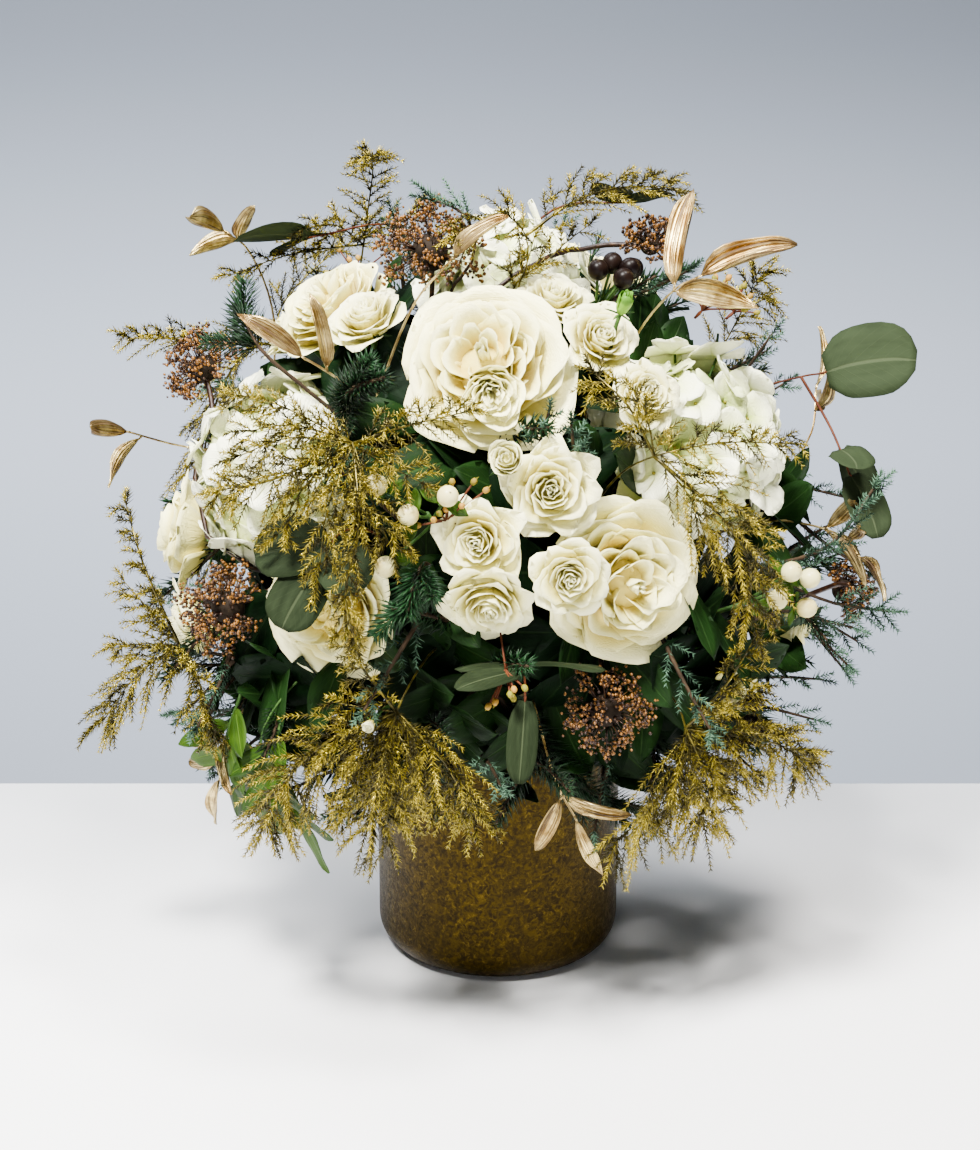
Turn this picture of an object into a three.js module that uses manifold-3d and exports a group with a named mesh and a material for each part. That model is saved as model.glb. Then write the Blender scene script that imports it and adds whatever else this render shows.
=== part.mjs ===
// A floral table centerpiece: a round vase, the wet foam that fills it, and cut flowers and
// foliage whose stems stand in holes in the foam and make one round flower ball.
// Millimetres, +Z up. The origin is the middle of the vase's foot, and -Y is the front.

import * as THREE from "three";
import { mergeVertices } from "three/addons/utils/BufferGeometryUtils.js";
import Module from "manifold-3d";

const wasm = await Module();
wasm.setup();
const { Manifold, Mesh } = wasm;

// ---------------------------------------------------------------- driving dimensions
const vase = { radius: 75, height: 150, wall: 4, floor: 8, corner: 18, sides: 30 };
const foam = { radius: 62, shoulder: 192, top: 204, crown: 46, sides: 12, gap: 0.3 };
const ball = { height: 270 }; // the flower ball's middle, above the table
const heart = { height: 172, inner: 30, outer: 80, lowest: -12, spacing: 13.5 }; // where stems point
const clearance = 0.35; // between neighbours, and round a stem in its hole

// Blooms: at = azimuth, elevation and distance of the face's middle from the ball's middle,
// faces = azimuth and elevation it looks towards, size = its radius.
const gardenRoses = [
  { name: "front_top", at: [-3, 43, 186], faces: [-3, 26], size: 46 },
  { name: "front_right", at: [24, 3, 180], faces: [22, 3], size: 44 },
  { name: "front_left", at: [-33, -4, 184], faces: [-30, -10], size: 42 },
  { name: "top_left", at: [-70, 53, 184], faces: [-60, 48], size: 36 },
  { name: "back_top", at: [150, 42, 186], faces: [150, 34], size: 45 },
  { name: "back_right", at: [116, 4, 188], faces: [114, 0], size: 43 },
];
const hydrangeas = [ // at = the head's middle; cells = florets along each side of its cube grid
  { name: "left", at: [-64, 19, 140], size: 54, cells: 3 },
  { name: "right", at: [56, 27, 138], size: 57, cells: 3 },
  { name: "top", at: [20, 84, 138], size: 47, cells: 3 },
  { name: "back", at: [-152, 14, 138], size: 55, cells: 3 },
];
const sprayRoses = [
  {
    name: "front",
    fork: [4, 10, 118],
    blooms: [
      { at: [9, 20.5, 192], faces: [7, 14], size: 26 },
      { at: [-3.5, 12.5, 192], faces: [-8, 10], size: 24 },
      { at: [11, 6.5, 198], faces: [6, 2], size: 21 },
      { at: [-2, 1.5, 192], faces: [-3, -24], size: 24 },
    ],
  },
  {
    name: "top_right",
    fork: [30, 54, 120],
    blooms: [
      { at: [27, 48, 186], faces: [20, 36], size: 22 },
      { at: [22, 62, 176], faces: [14, 60], size: 21 },
      { at: [31, 35, 192], faces: [26, 26], size: 19 },
    ],
  },
  {
    name: "top_left",
    fork: [-62, 46, 116],
    blooms: [
      { at: [-42, 52, 186], faces: [-38, 56], size: 23 },
      { at: [-93, 44, 178], faces: [-88, 44], size: 23 },
    ],
  },
  {
    name: "left",
    fork: [-82, -2, 112],
    blooms: [
      { at: [-86, 0, 200], faces: [-92, 2], size: 35 },
      { at: [-76, -15, 202], faces: [-74, -22], size: 25 },
    ],
  },
  {
    name: "lower_right",
    fork: [68, -14, 118],
    blooms: [
      { at: [78, -15, 196], faces: [76, -8], size: 25 },
      { at: [56, -25, 186], faces: [52, -26], size: 25 },
    ],
  },
  {
    name: "back",
    fork: [176, -2, 116],
    blooms: [
      { at: [168, 0, 192], faces: [168, 0], size: 27 },
      { at: [-174, -14, 188], faces: [-174, -16], size: 24 },
    ],
  },
];

// Sprays: each branch goes via places on or in the flower ball. The first branch comes from the
// foam, and the others leave it at its place number `from`.
const goldFerns = [
  {
    name: "left_centre",
    branches: [
      { via: [[-20, 24, 150], [-24, 26, 206], [-36, 29, 224], [-47, 29, 224]], reach: 40 },
      { from: 1, via: [[-34, 19, 222], [-44, 16, 222]], reach: 34 },
      { from: 1, via: [[-20, 14, 216], [-21, 5, 220], [-20, -3, 214]], reach: 30 },
      { from: 1, via: [[-14, 29, 212], [-5, 31, 214]], reach: 22 },
    ],
  },
  {
    name: "bottom_left",
    branches: [
      { via: [[-14, -12, 150], [-17, -16, 194], [-20, -27, 212], [-24, -38, 214]], reach: 38 },
      { from: 1, via: [[-9, -22, 206], [-5, -35, 204]], reach: 30 },
      { from: 1, via: [[-28, -20, 212], [-36, -27, 224], [-45, -37, 232]], reach: 34 },
      { from: 1, via: [[-20, -8, 204], [-24, -2, 206]], reach: 24 },
    ],
  },
  {
    name: "right_centre",
    branches: [
      { via: [[25, 22, 150], [25, 24, 206], [34, 24, 222], [46, 22, 226]], reach: 36 },
      { from: 1, via: [[21, 31, 214], [17, 37, 208]], reach: 28 },
      { from: 1, via: [[32, 15, 218], [37, 7, 218], [39, -1, 210]], reach: 32 },
    ],
  },
  {
    name: "bottom_right",
    branches: [
      { via: [[32, -17, 150], [34, -22, 196], [29, -33, 212], [24, -42, 214]], reach: 36 },
      { from: 1, via: [[40, -32, 214], [46, -43, 216]], reach: 34 },
      { from: 1, via: [[48, -24, 216], [60, -29, 226], [68, -34, 230]], reach: 32 },
      { from: 1, via: [[38, -13, 204], [41, -6, 208]], reach: 24 },
    ],
  },
  {
    name: "top",
    branches: [
      { via: [[10, 66, 150], [10, 66, 202], [0, 68, 212], [-14, 63, 206]], reach: 26 },
      { from: 1, via: [[36, 70, 214], [62, 68, 222], [78, 63, 226]], reach: 30 },
    ],
  },
  {
    name: "upper_left",
    branches: [
      { via: [[-114, 48, 140], [-122, 60, 190], [-112, 69, 222], [-80, 71, 232]], reach: 24 },
      { from: 0, via: [[-100, 32, 196], [-90, 30, 226], [-88, 28, 244]], reach: 28 },
    ],
  },
  {
    name: "lower_left",
    branches: [
      { via: [[-64, -12, 150], [-66, -14, 206], [-72, -18, 232], [-78, -24, 262]], reach: 34 },
      { from: 1, via: [[-62, 2, 224], [-68, 9, 228]], reach: 26 },
      { from: 1, via: [[-54, -16, 214], [-57, -26, 214]], reach: 26 },
    ],
  },
  {
    name: "back_right",
    branches: [
      { via: [[134, 16, 150], [134, 20, 206], [126, 30, 224], [116, 38, 226]], reach: 34 },
      { from: 1, via: [[140, 8, 222], [142, -8, 228], [142, -22, 224]], reach: 34 },
    ],
  },
  {
    name: "back_left",
    branches: [
      { via: [[-126, 26, 150], [-128, 30, 206], [-140, 40, 220], [-160, 50, 222]], reach: 34 },
      { from: 1, via: [[-124, 16, 222], [-122, -4, 230], [-124, -22, 228]], reach: 34 },
    ],
  },
];
const goldLeaves = [
  {
    name: "left",
    branches: [
      { via: [[-104, 10, 150], [-98, 12, 206], [-88, 15, 226]], leaves: 2, leaf: [40, 15] },
      { from: 0, via: [[-116, 36, 190], [-104, 46, 222], [-96, 47, 236]], leaves: 3, leaf: [34, 14] },
    ],
  },
  {
    name: "top_right",
    branches: [{ via: [[52, 52, 150], [54, 52, 196], [57, 51, 206]], leaves: 3, leaf: [66, 22] }],
  },
  {
    name: "upper_left",
    branches: [
      { via: [[-36, 38, 150], [-38, 38, 194], [-40, 38, 204]], leaves: 2, leaf: [46, 15] },
      { from: 0, via: [[-24, 54, 188], [-14, 59, 204]], leaves: 1, leaf: [36, 14] },
    ],
  },
  {
    name: "lower_left",
    branches: [
      { via: [[-58, -24, 150], [-61, -30, 208], [-64, -36, 224]], leaves: 4, leaf: [38, 13] },
    ],
  },
  {
    name: "lower_right",
    branches: [
      { via: [[8, -26, 145], [13, -38, 180], [17, -42, 196]], leaves: 3, leaf: [42, 13] },
    ],
  },
  {
    name: "right",
    branches: [
      { via: [[84, 2, 150], [76, 2, 204], [72, 0, 216]], leaves: 4, leaf: [42, 14] },
      { from: 0, via: [[100, 14, 200], [104, 20, 214]], leaves: 3, leaf: [40, 14] },
    ],
  },
];
const eucalyptus = [
  {
    name: "right",
    branches: [
      { via: [[84, 30, 150], [84, 28, 200], [84, 27, 212]], leaves: 1, leaf: [50, 44] },
      { from: 1, via: [[80, 19, 206], [76, 12, 212]], leaves: 3, leaf: [46, 24] },
    ],
  },
  {
    name: "centre_left",
    branches: [
      { via: [[-28, 12, 150], [-28, 12, 186], [-29, 7, 197]], leaves: 3, leaf: [38, 30] },
    ],
  },
  {
    name: "bottom",
    branches: [
      { via: [[4, -14, 150], [4, -9, 188], [4, -12, 196]], leaves: 4, leaf: [50, 24] },
    ],
  },
  {
    name: "top",
    branches: [
      { via: [[-160, 74, 140], [-128, 66, 188], [-97, 57, 203]], leaves: 2, leaf: [46, 34] },
      { from: 0, via: [[150, 70, 192], [112, 66, 206]], leaves: 2, leaf: [34, 22] },
    ],
  },
];
const firs = [
  {
    name: "upper_left",
    branches: [
      { via: [[-46, 34, 150], [-54, 38, 204], [-62, 42, 218]], needles: 20 },
      { from: 0, via: [[-30, 36, 190], [-22, 37, 200]], needles: 16 },
    ],
  },
  {
    name: "centre",
    branches: [{ via: [[-14, 6, 150], [-13, 8, 186], [-14, 2, 198]], needles: 20 }],
  },
  {
    name: "bottom",
    branches: [
      { via: [[-4, -20, 145], [-14, -30, 182], [-22, -39, 194]], needles: 22 },
      { from: 0, via: [[20, -42, 176], [37, -44, 198]], needles: 20 },
    ],
  },
];
const junipers = [
  {
    name: "right",
    branches: [
      { via: [[64, -4, 150], [68, -7, 208], [76, -9, 236]], reach: 22 },
      { from: 0, via: [[62, 4, 208], [66, 12, 234]], reach: 22 },
    ],
  },
  {
    name: "lower_left",
    branches: [{ via: [[-68, -22, 150], [-68, -28, 206], [-72, -36, 222]], reach: 26 }],
  },
  {
    name: "top",
    branches: [
      { via: [[-27, 68, 150], [-22, 68, 196], [-28, 69, 216]], reach: 20 },
    ],
  },
];
const skimmias = [
  {
    name: "top",
    branches: [
      { via: [[-34, 62, 140], [-35, 60, 176]], head: 25 },
      { from: 0, via: [[58, 72, 178], [68, 62, 196]], head: 15 },
    ],
  },
  {
    name: "left",
    branches: [
      { via: [[-52, 0, 140], [-54, -5, 178]], head: 23 },
      { from: 0, via: [[-78, 22, 176], [-88, 29, 198]], head: 20 },
    ],
  },
  {
    name: "right",
    branches: [
      { via: [[24, -12, 140], [20, -18, 178]], head: 22 },
      { from: 0, via: [[64, -12, 170], [84, -12, 200]], head: 17 },
    ],
  },
];
const hypericums = [
  {
    name: "centre",
    fork: [-13, 17, 176],
    berries: [[-19.5, 20.5, 202], [-14, 16.5, 202], [-8, 19.5, 202], [-17.5, 8.5, 198]],
  },
  {
    name: "right",
    fork: [50, -4, 180],
    berries: [[46, -0.5, 208], [49.5, 3, 208], [54, 1, 210], [53.5, -3.5, 210]],
  },
];
const ruscus = [
  { branches: [{ via: [[-44, -20, 150], [-47, -25, 198], [-50, -36, 212]], leaves: 7, leaf: [38, 16] }] },
];
const darkBerries = { fork: [42, 60, 170], middle: [43, 59, 190], spread: 14, count: 5, berry: 6 };

const colours = {
  vase: [0x6b4e1c, 0.4, 0.85],
  foam: [0x2f5a34, 0.95, 0],
  petal: [0xf3ecd8, 0.6, 0],
  floret: [0xf1f2e4, 0.6, 0],
  stem: [0x4c6a32, 0.7, 0],
  gold: [0xa98d3f, 0.45, 0.6],
  leafGold: [0xb48a4e, 0.35, 0.8],
  eucalyptus: [0x5c7760, 0.7, 0],
  fir: [0x1f3a26, 0.6, 0],
  juniper: [0x3f6455, 0.7, 0],
  skimmia: [0x7c4d36, 0.5, 0.2],
  hypericum: [0xe6dfc6, 0.3, 0],
  ruscus: [0x3f6b25, 0.5, 0],
  berry: [0x2a1a18, 0.35, 0],
};

// ---------------------------------------------------------------- directions and places
const V = (x, y, z) => new THREE.Vector3(x, y, z);
const radians = Math.PI / 180;
const ballMiddle = V(0, 0, ball.height);
const heartPoint = V(0, 0, heart.height);

// Azimuth 0 looks to the front (-Y) and 90 to the right (+X).
function towards(azimuth, elevation) {
  const level = Math.cos(elevation * radians);
  const x = Math.sin(azimuth * radians) * level;
  const y = -Math.cos(azimuth * radians) * level;
  return V(x, y, Math.sin(elevation * radians));
}

function place([azimuth, elevation, distance]) {
  return towards(azimuth, elevation).multiplyScalar(distance).add(ballMiddle);
}

// The same draws every time, from a seed.
function seeded(seed) {
  let state = seed >>> 0;
  return () => {
    state = (Math.imul(state, 1664525) + 1013904223) >>> 0;
    return state / 4294967296;
  };
}

// ---------------------------------------------------------------- geometry to solids
// A closed geometry as a solid, with its seams merged and its faces turned out.
function solid(geometry) {
  const bare = new THREE.BufferGeometry();
  bare.setAttribute("position", geometry.getAttribute("position").clone());
  if (geometry.index) bare.setIndex(geometry.index.clone());
  const merged = mergeVertices(bare, 1e-4);
  const at = merged.attributes.position;
  const corner = (i) => V().fromBufferAttribute(at, i);
  const faces = [];
  let volume = 0;
  for (let i = 0; i < merged.index.count; i += 3) {
    const [a, b, c] = [0, 1, 2].map((k) => merged.index.getX(i + k));
    if (a === b || b === c || a === c) continue;
    faces.push([a, b, c]);
    volume += corner(a).dot(corner(b).cross(corner(c)));
  }
  if (volume < 0) faces.forEach((face) => face.reverse());
  const triVerts = new Uint32Array(faces.flat());
  return new Manifold(new Mesh({ numProp: 3, vertProperties: at.array, triVerts }));
}

const fromFaces = (points, index) =>
  solid(new THREE.BufferGeometry().setFromPoints(points).setIndex(index));
const join = (pieces) => (pieces.length > 1 ? Manifold.union(pieces) : pieces[0]);

const placed = []; // { name, solid, box } of each node so far
const near = (a, b) => [0, 1, 2].every((k) => a.min[k] < b.max[k] + 1 && b.min[k] < a.max[k] + 1);

// Grows a form out of a four-cornered face: sections of four points (left, back, right, front),
// then a tip or a sharp edge of three points. Its two faces split into like triangles.
function grow(points, index, [a, b, c, d], { sections = [], tip, edge }) {
  const put = (p) => points.push(p) - 1;
  let under = null;
  for (const section of sections) {
    const [l, k, r, f] = section.map(put);
    if (under) {
      const [L, K, R, F] = under;
      index.push(L, K, k, L, k, l, K, R, k, R, r, k, R, F, f, R, f, r, F, L, f, L, l, f);
    } else index.push(a, b, k, b, r, k, b, c, r, c, f, r, c, d, f, d, l, f, d, a, l, a, k, l);
    under = [l, k, r, f];
  }
  const [L, K, R, F] = under ?? [a, b, c, d];
  if (tip) {
    const t = put(tip);
    index.push(L, K, t, K, R, t, R, F, t, F, L, t);
    return;
  }
  const [l, m, r] = edge.map(put);
  index.push(L, K, m, L, m, l, K, R, m, R, r, m, R, F, m, R, m, r, F, L, m, L, l, m);
}

// What grows out of a face, on its own, closed by its foot.
function alone(corners, grown) {
  const points = [...corners];
  const index = [0, 2, 1, 0, 3, 2];
  grow(points, index, [0, 1, 2, 3], grown);
  return fromFaces(points, index);
}

// The first of some forms that stays clear of all that stands already.
function firstClear(corners, forms) {
  return forms.find((form) => {
    const shape = alone(corners, form);
    const box = shape.boundingBox();
    return !placed.some((other) => near(box, other.box) && shape.minGap(other.solid, 1) < clearance);
  });
}

const evenly = (sides) => Array.from({ length: sides }, (_, f) => ((f - 0.5) * 2 * Math.PI) / sides);

// A flat-sided rod through rings { middle, up, side, radius, turn, corners }, with its corners at
// angles from up to side, or at a ring's own. growth(k, face) gives the forms that may grow out
// of a face of the stretch after ring k, best first, and growth("end") those for the far end of a
// four-sided rod.
function rod(rings, corners, growth = () => []) {
  const sides = corners.length;
  const points = [];
  for (const { middle, up, side, radius, turn = 0, corners: own = corners } of rings)
    for (const corner of own) {
      const x = radius * Math.cos(corner + turn);
      const y = radius * Math.sin(corner + turn);
      points.push(middle.clone().addScaledVector(up, x).addScaledVector(side, y));
    }
  const index = [];
  for (let k = 0; k < rings.length - 1; k++)
    for (let f = 0; f < sides; f++) {
      const [a, b] = [k * sides + f, k * sides + ((f + 1) % sides)];
      const [c, d] = [b + sides, a + sides];
      const quad = [a, b, c, d];
      const grown = firstClear(quad.map((i) => points[i]), growth(k, f));
      if (grown) grow(points, index, quad, grown);
      else index.push(a, b, c, a, c, d);
    }
  const last = (rings.length - 1) * sides;
  const quad = [last, last + 1, last + 2, last + 3];
  const end = firstClear(quad.map((i) => points[i]), growth("end"));
  for (let f = 1; f < sides - 1; f++) {
    index.push(0, f + 1, f);
    if (!end && rings.at(-1).radius > 0) index.push(last, last + f, last + f + 1);
  }
  if (end) grow(points, index, quad, end);
  return fromFaces(points, index);
}

// ---------------------------------------------------------------- paths
// A path through points, with at(distance) = its place and frame there: along, up and side.
// Up is given at the path's end, or is turned away from the ball's middle there, and follows the
// path from there.
function pathOf(points, upAtEnd) {
  const far = points.length - 1;
  const lengths = [0];
  for (let i = 1; i <= far; i++) lengths.push(lengths[i - 1] + points[i].distanceTo(points[i - 1]));
  const along = points.map((_, i) =>
    points[Math.min(far, i + 1)].clone().sub(points[Math.max(0, i - 1)]).normalize(),
  );
  let up = upAtEnd ?? points[far].clone().sub(ballMiddle).normalize();
  if (Math.abs(up.dot(along[far])) > 0.95) up = V(0, 0, 1);
  const ups = [];
  for (let i = far; i >= 0; i--) {
    up = up.clone().addScaledVector(along[i], -up.dot(along[i])).normalize();
    ups[i] = up;
  }
  const at = (distance) => {
    let i = 0;
    while (i < far - 1 && lengths[i + 1] < distance) i++;
    const t = Math.max(0, Math.min(1, (distance - lengths[i]) / (lengths[i + 1] - lengths[i])));
    const forward = along[i].clone().lerp(along[i + 1], t).normalize();
    const outward = ups[i].clone().lerp(ups[i + 1], t);
    outward.addScaledVector(forward, -outward.dot(forward)).normalize();
    const middle = points[i].clone().lerp(points[i + 1], t);
    return { middle, along: forward, up: outward, side: forward.clone().cross(outward) };
  };
  return { at, lengths, points, length: lengths[far] };
}

// The rings at a path's points, with a radius at each.
function ringsThrough(points, radii, upAtEnd) {
  const path = pathOf(points, upAtEnd);
  return radii.map((radius, i) => ({ ...path.at(path.lengths[i]), radius }));
}

// A direction made of parts along, to the side and up.
const mix = ({ along, side, up }, forward, sideways, upward) =>
  along
    .clone()
    .multiplyScalar(forward)
    .addScaledVector(side, sideways)
    .addScaledVector(up, upward)
    .normalize();

// ---------------------------------------------------------------- stems in the foam
// Each stem's direction out of the foam: towards its own place, moved until all stand apart.
const stems = new Map();
function planStem(name, target) {
  stems.set(name, { way: target.clone().sub(heartPoint).normalize() });
}

function spreadStems() {
  const all = [...stems.values()];
  const least = heart.spacing * radians;
  for (let turn = 0; turn < 400; turn++)
    for (const one of all) {
      for (const other of all) {
        const angle = one.way.angleTo(other.way);
        if (one === other || angle >= least) continue;
        const apart = one.way.clone().sub(other.way);
        if (apart.length() < 1e-6) apart.set(0.01, 0.02, 0);
        one.way.addScaledVector(apart.normalize(), (least - angle) / 2).normalize();
      }
      const floor = Math.sin(heart.lowest * radians);
      if (one.way.z < floor) one.way.setZ(floor).normalize();
    }
}

// The straight part of a stem: its cut end in the foam, and a point outside the foam.
function rootOf(name) {
  const { way } = stems.get(name);
  return [heart.inner, heart.outer].map((r) => heartPoint.clone().addScaledVector(way, r));
}

// ---------------------------------------------------------------- what foliage bends clear of
const bloomBalls = []; // { middle, radius } of each flower head

// A point moved out of every flower head, to lie on its skin.
function clearOfBlooms(point, room = 0) {
  const moved = point.clone();
  for (let turn = 0; turn < 8; turn++)
    for (const { middle, radius } of bloomBalls) {
      const away = moved.clone().sub(middle);
      const least = radius + room;
      if (away.length() < least) moved.copy(middle).addScaledVector(away.normalize(), least);
    }
  return moved;
}

// Every branch of a spray: a path bent clear of the flower heads, with where its foliage starts.
const stretchSteps = 4;
function branchesOf(name, spray) {
  const made = [];
  for (const branch of spray.branches) {
    const trunk = made[0];
    const start = trunk ? [trunk.knots[branch.from]] : rootOf(name);
    const knots = [...start, ...branch.via.map(place)];
    const curve = new THREE.CatmullRomCurve3(knots, false, "centripetal");
    const straight = (start.length - 1) * stretchSteps;
    const far = stretchSteps * (knots.length - 1);
    const room = (i) => (branch.head ?? 0) * 1.15 * Math.max(0, 1 - (far - i) / stretchSteps);
    const points = curve
      .getPoints(far)
      .map((p, i) => (i <= straight ? p : clearOfBlooms(p, room(i))));
    const path = pathOf(points);
    const leafy = trunk ? 0.15 * path.length : path.lengths[(start.length + 1) * stretchSteps];
    const knotAt = (i) => points[(start.length + i) * stretchSteps];
    made.push({ ...branch, path, leafy, rooted: !trunk, knots: branch.via.map((_, i) => knotAt(i)) });
  }
  return made;
}

// Whether the points between two points of a path lie close to the line between them.
const bow = 1.2;
function isStraight(points, from, to) {
  const line = new THREE.Line3(points[from], points[to]);
  return points
    .slice(from + 1, to)
    .every((p) => line.closestPointToPoint(p, true, V()).distanceTo(p) < bow);
}

// The rings of a branch's stem, at the path's own points up to its leafy stretch and then at
// the given distances.
function branchRings({ path, leafy, rooted }, distances, near, far) {
  const kept = rooted ? [0, stretchSteps] : [0];
  const end = path.lengths.findLastIndex((d) => d < leafy - 4);
  while (kept.at(-1) < end) {
    const from = kept.at(-1);
    let to = from + 1;
    while (to < end && isStraight(path.points, from, to + 1)) to++;
    kept.push(to);
  }
  return [...kept.map((i) => path.lengths[i]), ...distances].map((d) => {
    const radius = near + ((far - near) * d) / path.length;
    return { ...path.at(d), radius };
  });
}

// ---------------------------------------------------------------- vase and foam
function lathe(outline, sides) {
  const profile = outline.map(([x, y]) => new THREE.Vector2(x, y));
  return solid(new THREE.LatheGeometry(profile, sides).rotateX(Math.PI / 2));
}

function vaseSolid() {
  const { radius, height, wall, floor, corner, sides } = vase;
  const edge = corner * (1 - Math.SQRT1_2);
  const inner = radius - wall;
  const outline = [
    [0, 0], [radius - corner, 0], [radius - edge, edge], [radius, corner],
    [radius, height], [inner, height],
    [inner, floor + corner - wall], [radius - corner, floor], [0, floor],
  ];
  return lathe(outline, sides);
}

function foamSolid() {
  const { radius, shoulder, top, crown, sides, gap } = foam;
  const base = vase.floor + gap;
  const chamfer = 12;
  const outline = [
    [0, base], [radius - chamfer, base], [radius, base + chamfer],
    [radius, shoulder], [crown, top], [0, top],
  ];
  return lathe(outline, sides).subtract(join(holes));
}

// A rod that stands in the foam. Its hole is the stretch between its first two rings, a little
// wider and longer.
const holes = [];
function rooted(rings, corners, growth) {
  const wider = (1.1 * clearance) / Math.cos(Math.PI / corners.length);
  const [first, second] = rings;
  const start = first.middle.clone().addScaledVector(first.along, -clearance);
  const ends = [{ ...first, middle: start }, second];
  holes.push(rod(ends.map((ring) => ({ ...ring, radius: ring.radius + wider })), corners));
  return rod(rings, corners, growth);
}

// ---------------------------------------------------------------- flowers
// A bloom's own frame: its base, its axis and two directions across.
function bloomFrame({ at, faces, size }) {
  const axis = towards(...faces);
  const base = place(at).addScaledVector(axis, -roseDepth * size);
  const x = V(0, 0, 1).cross(axis).normalize();
  const y = axis.clone().cross(x);
  const point = (angle, radius, height) =>
    base
      .clone()
      .addScaledVector(x, size * radius * Math.cos(angle))
      .addScaledVector(y, size * radius * Math.sin(angle))
      .addScaledVector(axis, size * height);
  return { axis, base, point, x, y };
}

// Sizes of a bloom, by its radius. Its core's rings are [radius, height]. Each stretch of the
// core carries a whorl of petals: wide and edge are [radius, height, half angle], tip is
// [radius, height] at the edge's middle, and twist lifts one side over the next petal.
const roseDepth = 0.78; // from the base to the face
const petalThickness = 1.8;
const largeRose = {
  petals: 6,
  gap: 5,
  core: [[0.17, 0], [0.33, 0.2], [0.32, 0.42], [0.25, 0.62]],
  apex: 0.8,
  whorls: [
    { wide: [0.7, 0.26, 40], edge: [0.94, 0.38, 27], tip: [1.03, 0.33], twist: 0.07 },
    { wide: [0.5, 0.5, 41], edge: [0.69, 0.68, 30], tip: [0.73, 0.73], twist: 0.06 },
    { wide: [0.33, 0.68, 42], edge: [0.38, 0.82, 32], tip: [0.38, 0.88], twist: 0.05 },
  ],
};
const smallRose = {
  petals: 5,
  gap: 6,
  core: [[0.17, 0], [0.34, 0.24], [0.3, 0.5]],
  apex: 0.74,
  whorls: [
    { wide: [0.68, 0.27, 46], edge: [0.93, 0.42, 32], tip: [1.02, 0.38], twist: 0.08 },
    { wide: [0.45, 0.57, 49], edge: [0.55, 0.76, 36], tip: [0.56, 0.84], twist: 0.06 },
  ],
};

// One petal, round the bloom's axis at an angle, drawn in towards the axis by a share.
function petal({ point, axis }, { wide, edge, tip, twist }, turn, shrink) {
  const slope = Math.atan2(edge[1] - wide[1], edge[0] - wide[0]);
  const at = ([radius, height, half], hand) => {
    const r = radius * shrink - hand * twist * Math.sin(slope);
    const h = height + hand * twist * Math.cos(slope);
    return point(turn + hand * half * radians, r, h);
  };
  const outward = point(turn, 1, 0).sub(point(turn, 0, 0)).normalize();
  const back = outward.multiplyScalar(Math.sin(slope)).addScaledVector(axis, -Math.cos(slope));
  const rib = (side) => at(wide, 0).addScaledVector(back, (side * petalThickness) / 2);
  const middle = point(turn, tip[0] * shrink, tip[1]);
  return {
    sections: [[at(wide, -1), rib(1), at(wide, 1), rib(-1)]],
    edge: [at(edge, -1), middle, at(edge, 1)],
  };
}

// A bloom on its core, and before it the rings of a stalk and its cup of sepals if it has them.
function roseRings(frame, form, stalk = []) {
  const { petals, gap, core, apex, whorls } = form;
  const spacing = (2 * Math.PI) / petals;
  const pairs = (half) =>
    Array.from({ length: petals }, (_, i) => [i * spacing - half, i * spacing + half]).flat();
  const corners = pairs(spacing / 2 - gap * radians);
  const closed = stalk.map((ring) => ({ ...ring, corners: pairs(spacing / 2) }));
  const ring = (radius, height, turn) => ({
    middle: frame.point(0, 0, height), up: frame.x, side: frame.y, along: frame.axis,
    radius: radius * frame.size, turn,
  });
  const cores = core.map(([radius, height], k) => ring(radius, height, (k * spacing) / 2));
  const tip = ring(0, apex, ((core.length - 1) * spacing) / 2);
  const growth = (k, face) => {
    const whorl = whorls[k - stalk.length];
    if (k === "end" || face % 2) return [];
    if (k === stalk.length - 1) return [{ tip: frame.point((face / 2) * spacing, 0.45, -0.05) }];
    if (!whorl) return [];
    const turn = (face / 2) * spacing + ((k - stalk.length + 0.5) * spacing) / 2;
    return [1, 0.93, 0.86, 0.78, 0.7].map((shrink) => petal(frame, whorl, turn, shrink));
  };
  return { rings: [...closed, ...cores, tip], corners, growth };
}

function roseHead(bloom, form) {
  const frame = { ...bloomFrame(bloom), size: bloom.size };
  const { rings, corners, growth } = roseRings(frame, form);
  return rod(rings, corners, growth);
}

// A spray's bloom, in one piece with its stalk from the fork.
function stalkedRose(bloom, form, from) {
  const frame = { ...bloomFrame(bloom), size: bloom.size };
  const cup = frame.point(0, 0, -0.14);
  const stalk = ringsThrough([from, cup, frame.base], [1.9, 0.1 * bloom.size], frame.x);
  const { rings, corners, growth } = roseRings(frame, form, stalk);
  return rod(rings, corners, growth);
}

// A garden rose's stem widens to the green cup under the bloom, with five sepals.
function roseStem(bloom, root, radius) {
  const { axis, base, point, x } = bloomFrame(bloom);
  const seat = base.clone().addScaledVector(axis, -1.2 * clearance);
  const points = [...root, point(0, 0, -0.3), point(0, 0, -0.14), seat];
  const radii = [radius, radius, 0.9 * radius, 0.09 * bloom.size, 0.16 * bloom.size];
  const sepal = (k, face) => (k === 3 ? [{ tip: point(face * 72 * radians, 0.42, -0.06) }] : []);
  return rooted(ringsThrough(points, radii, x), evenly(5), sepal);
}

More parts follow.
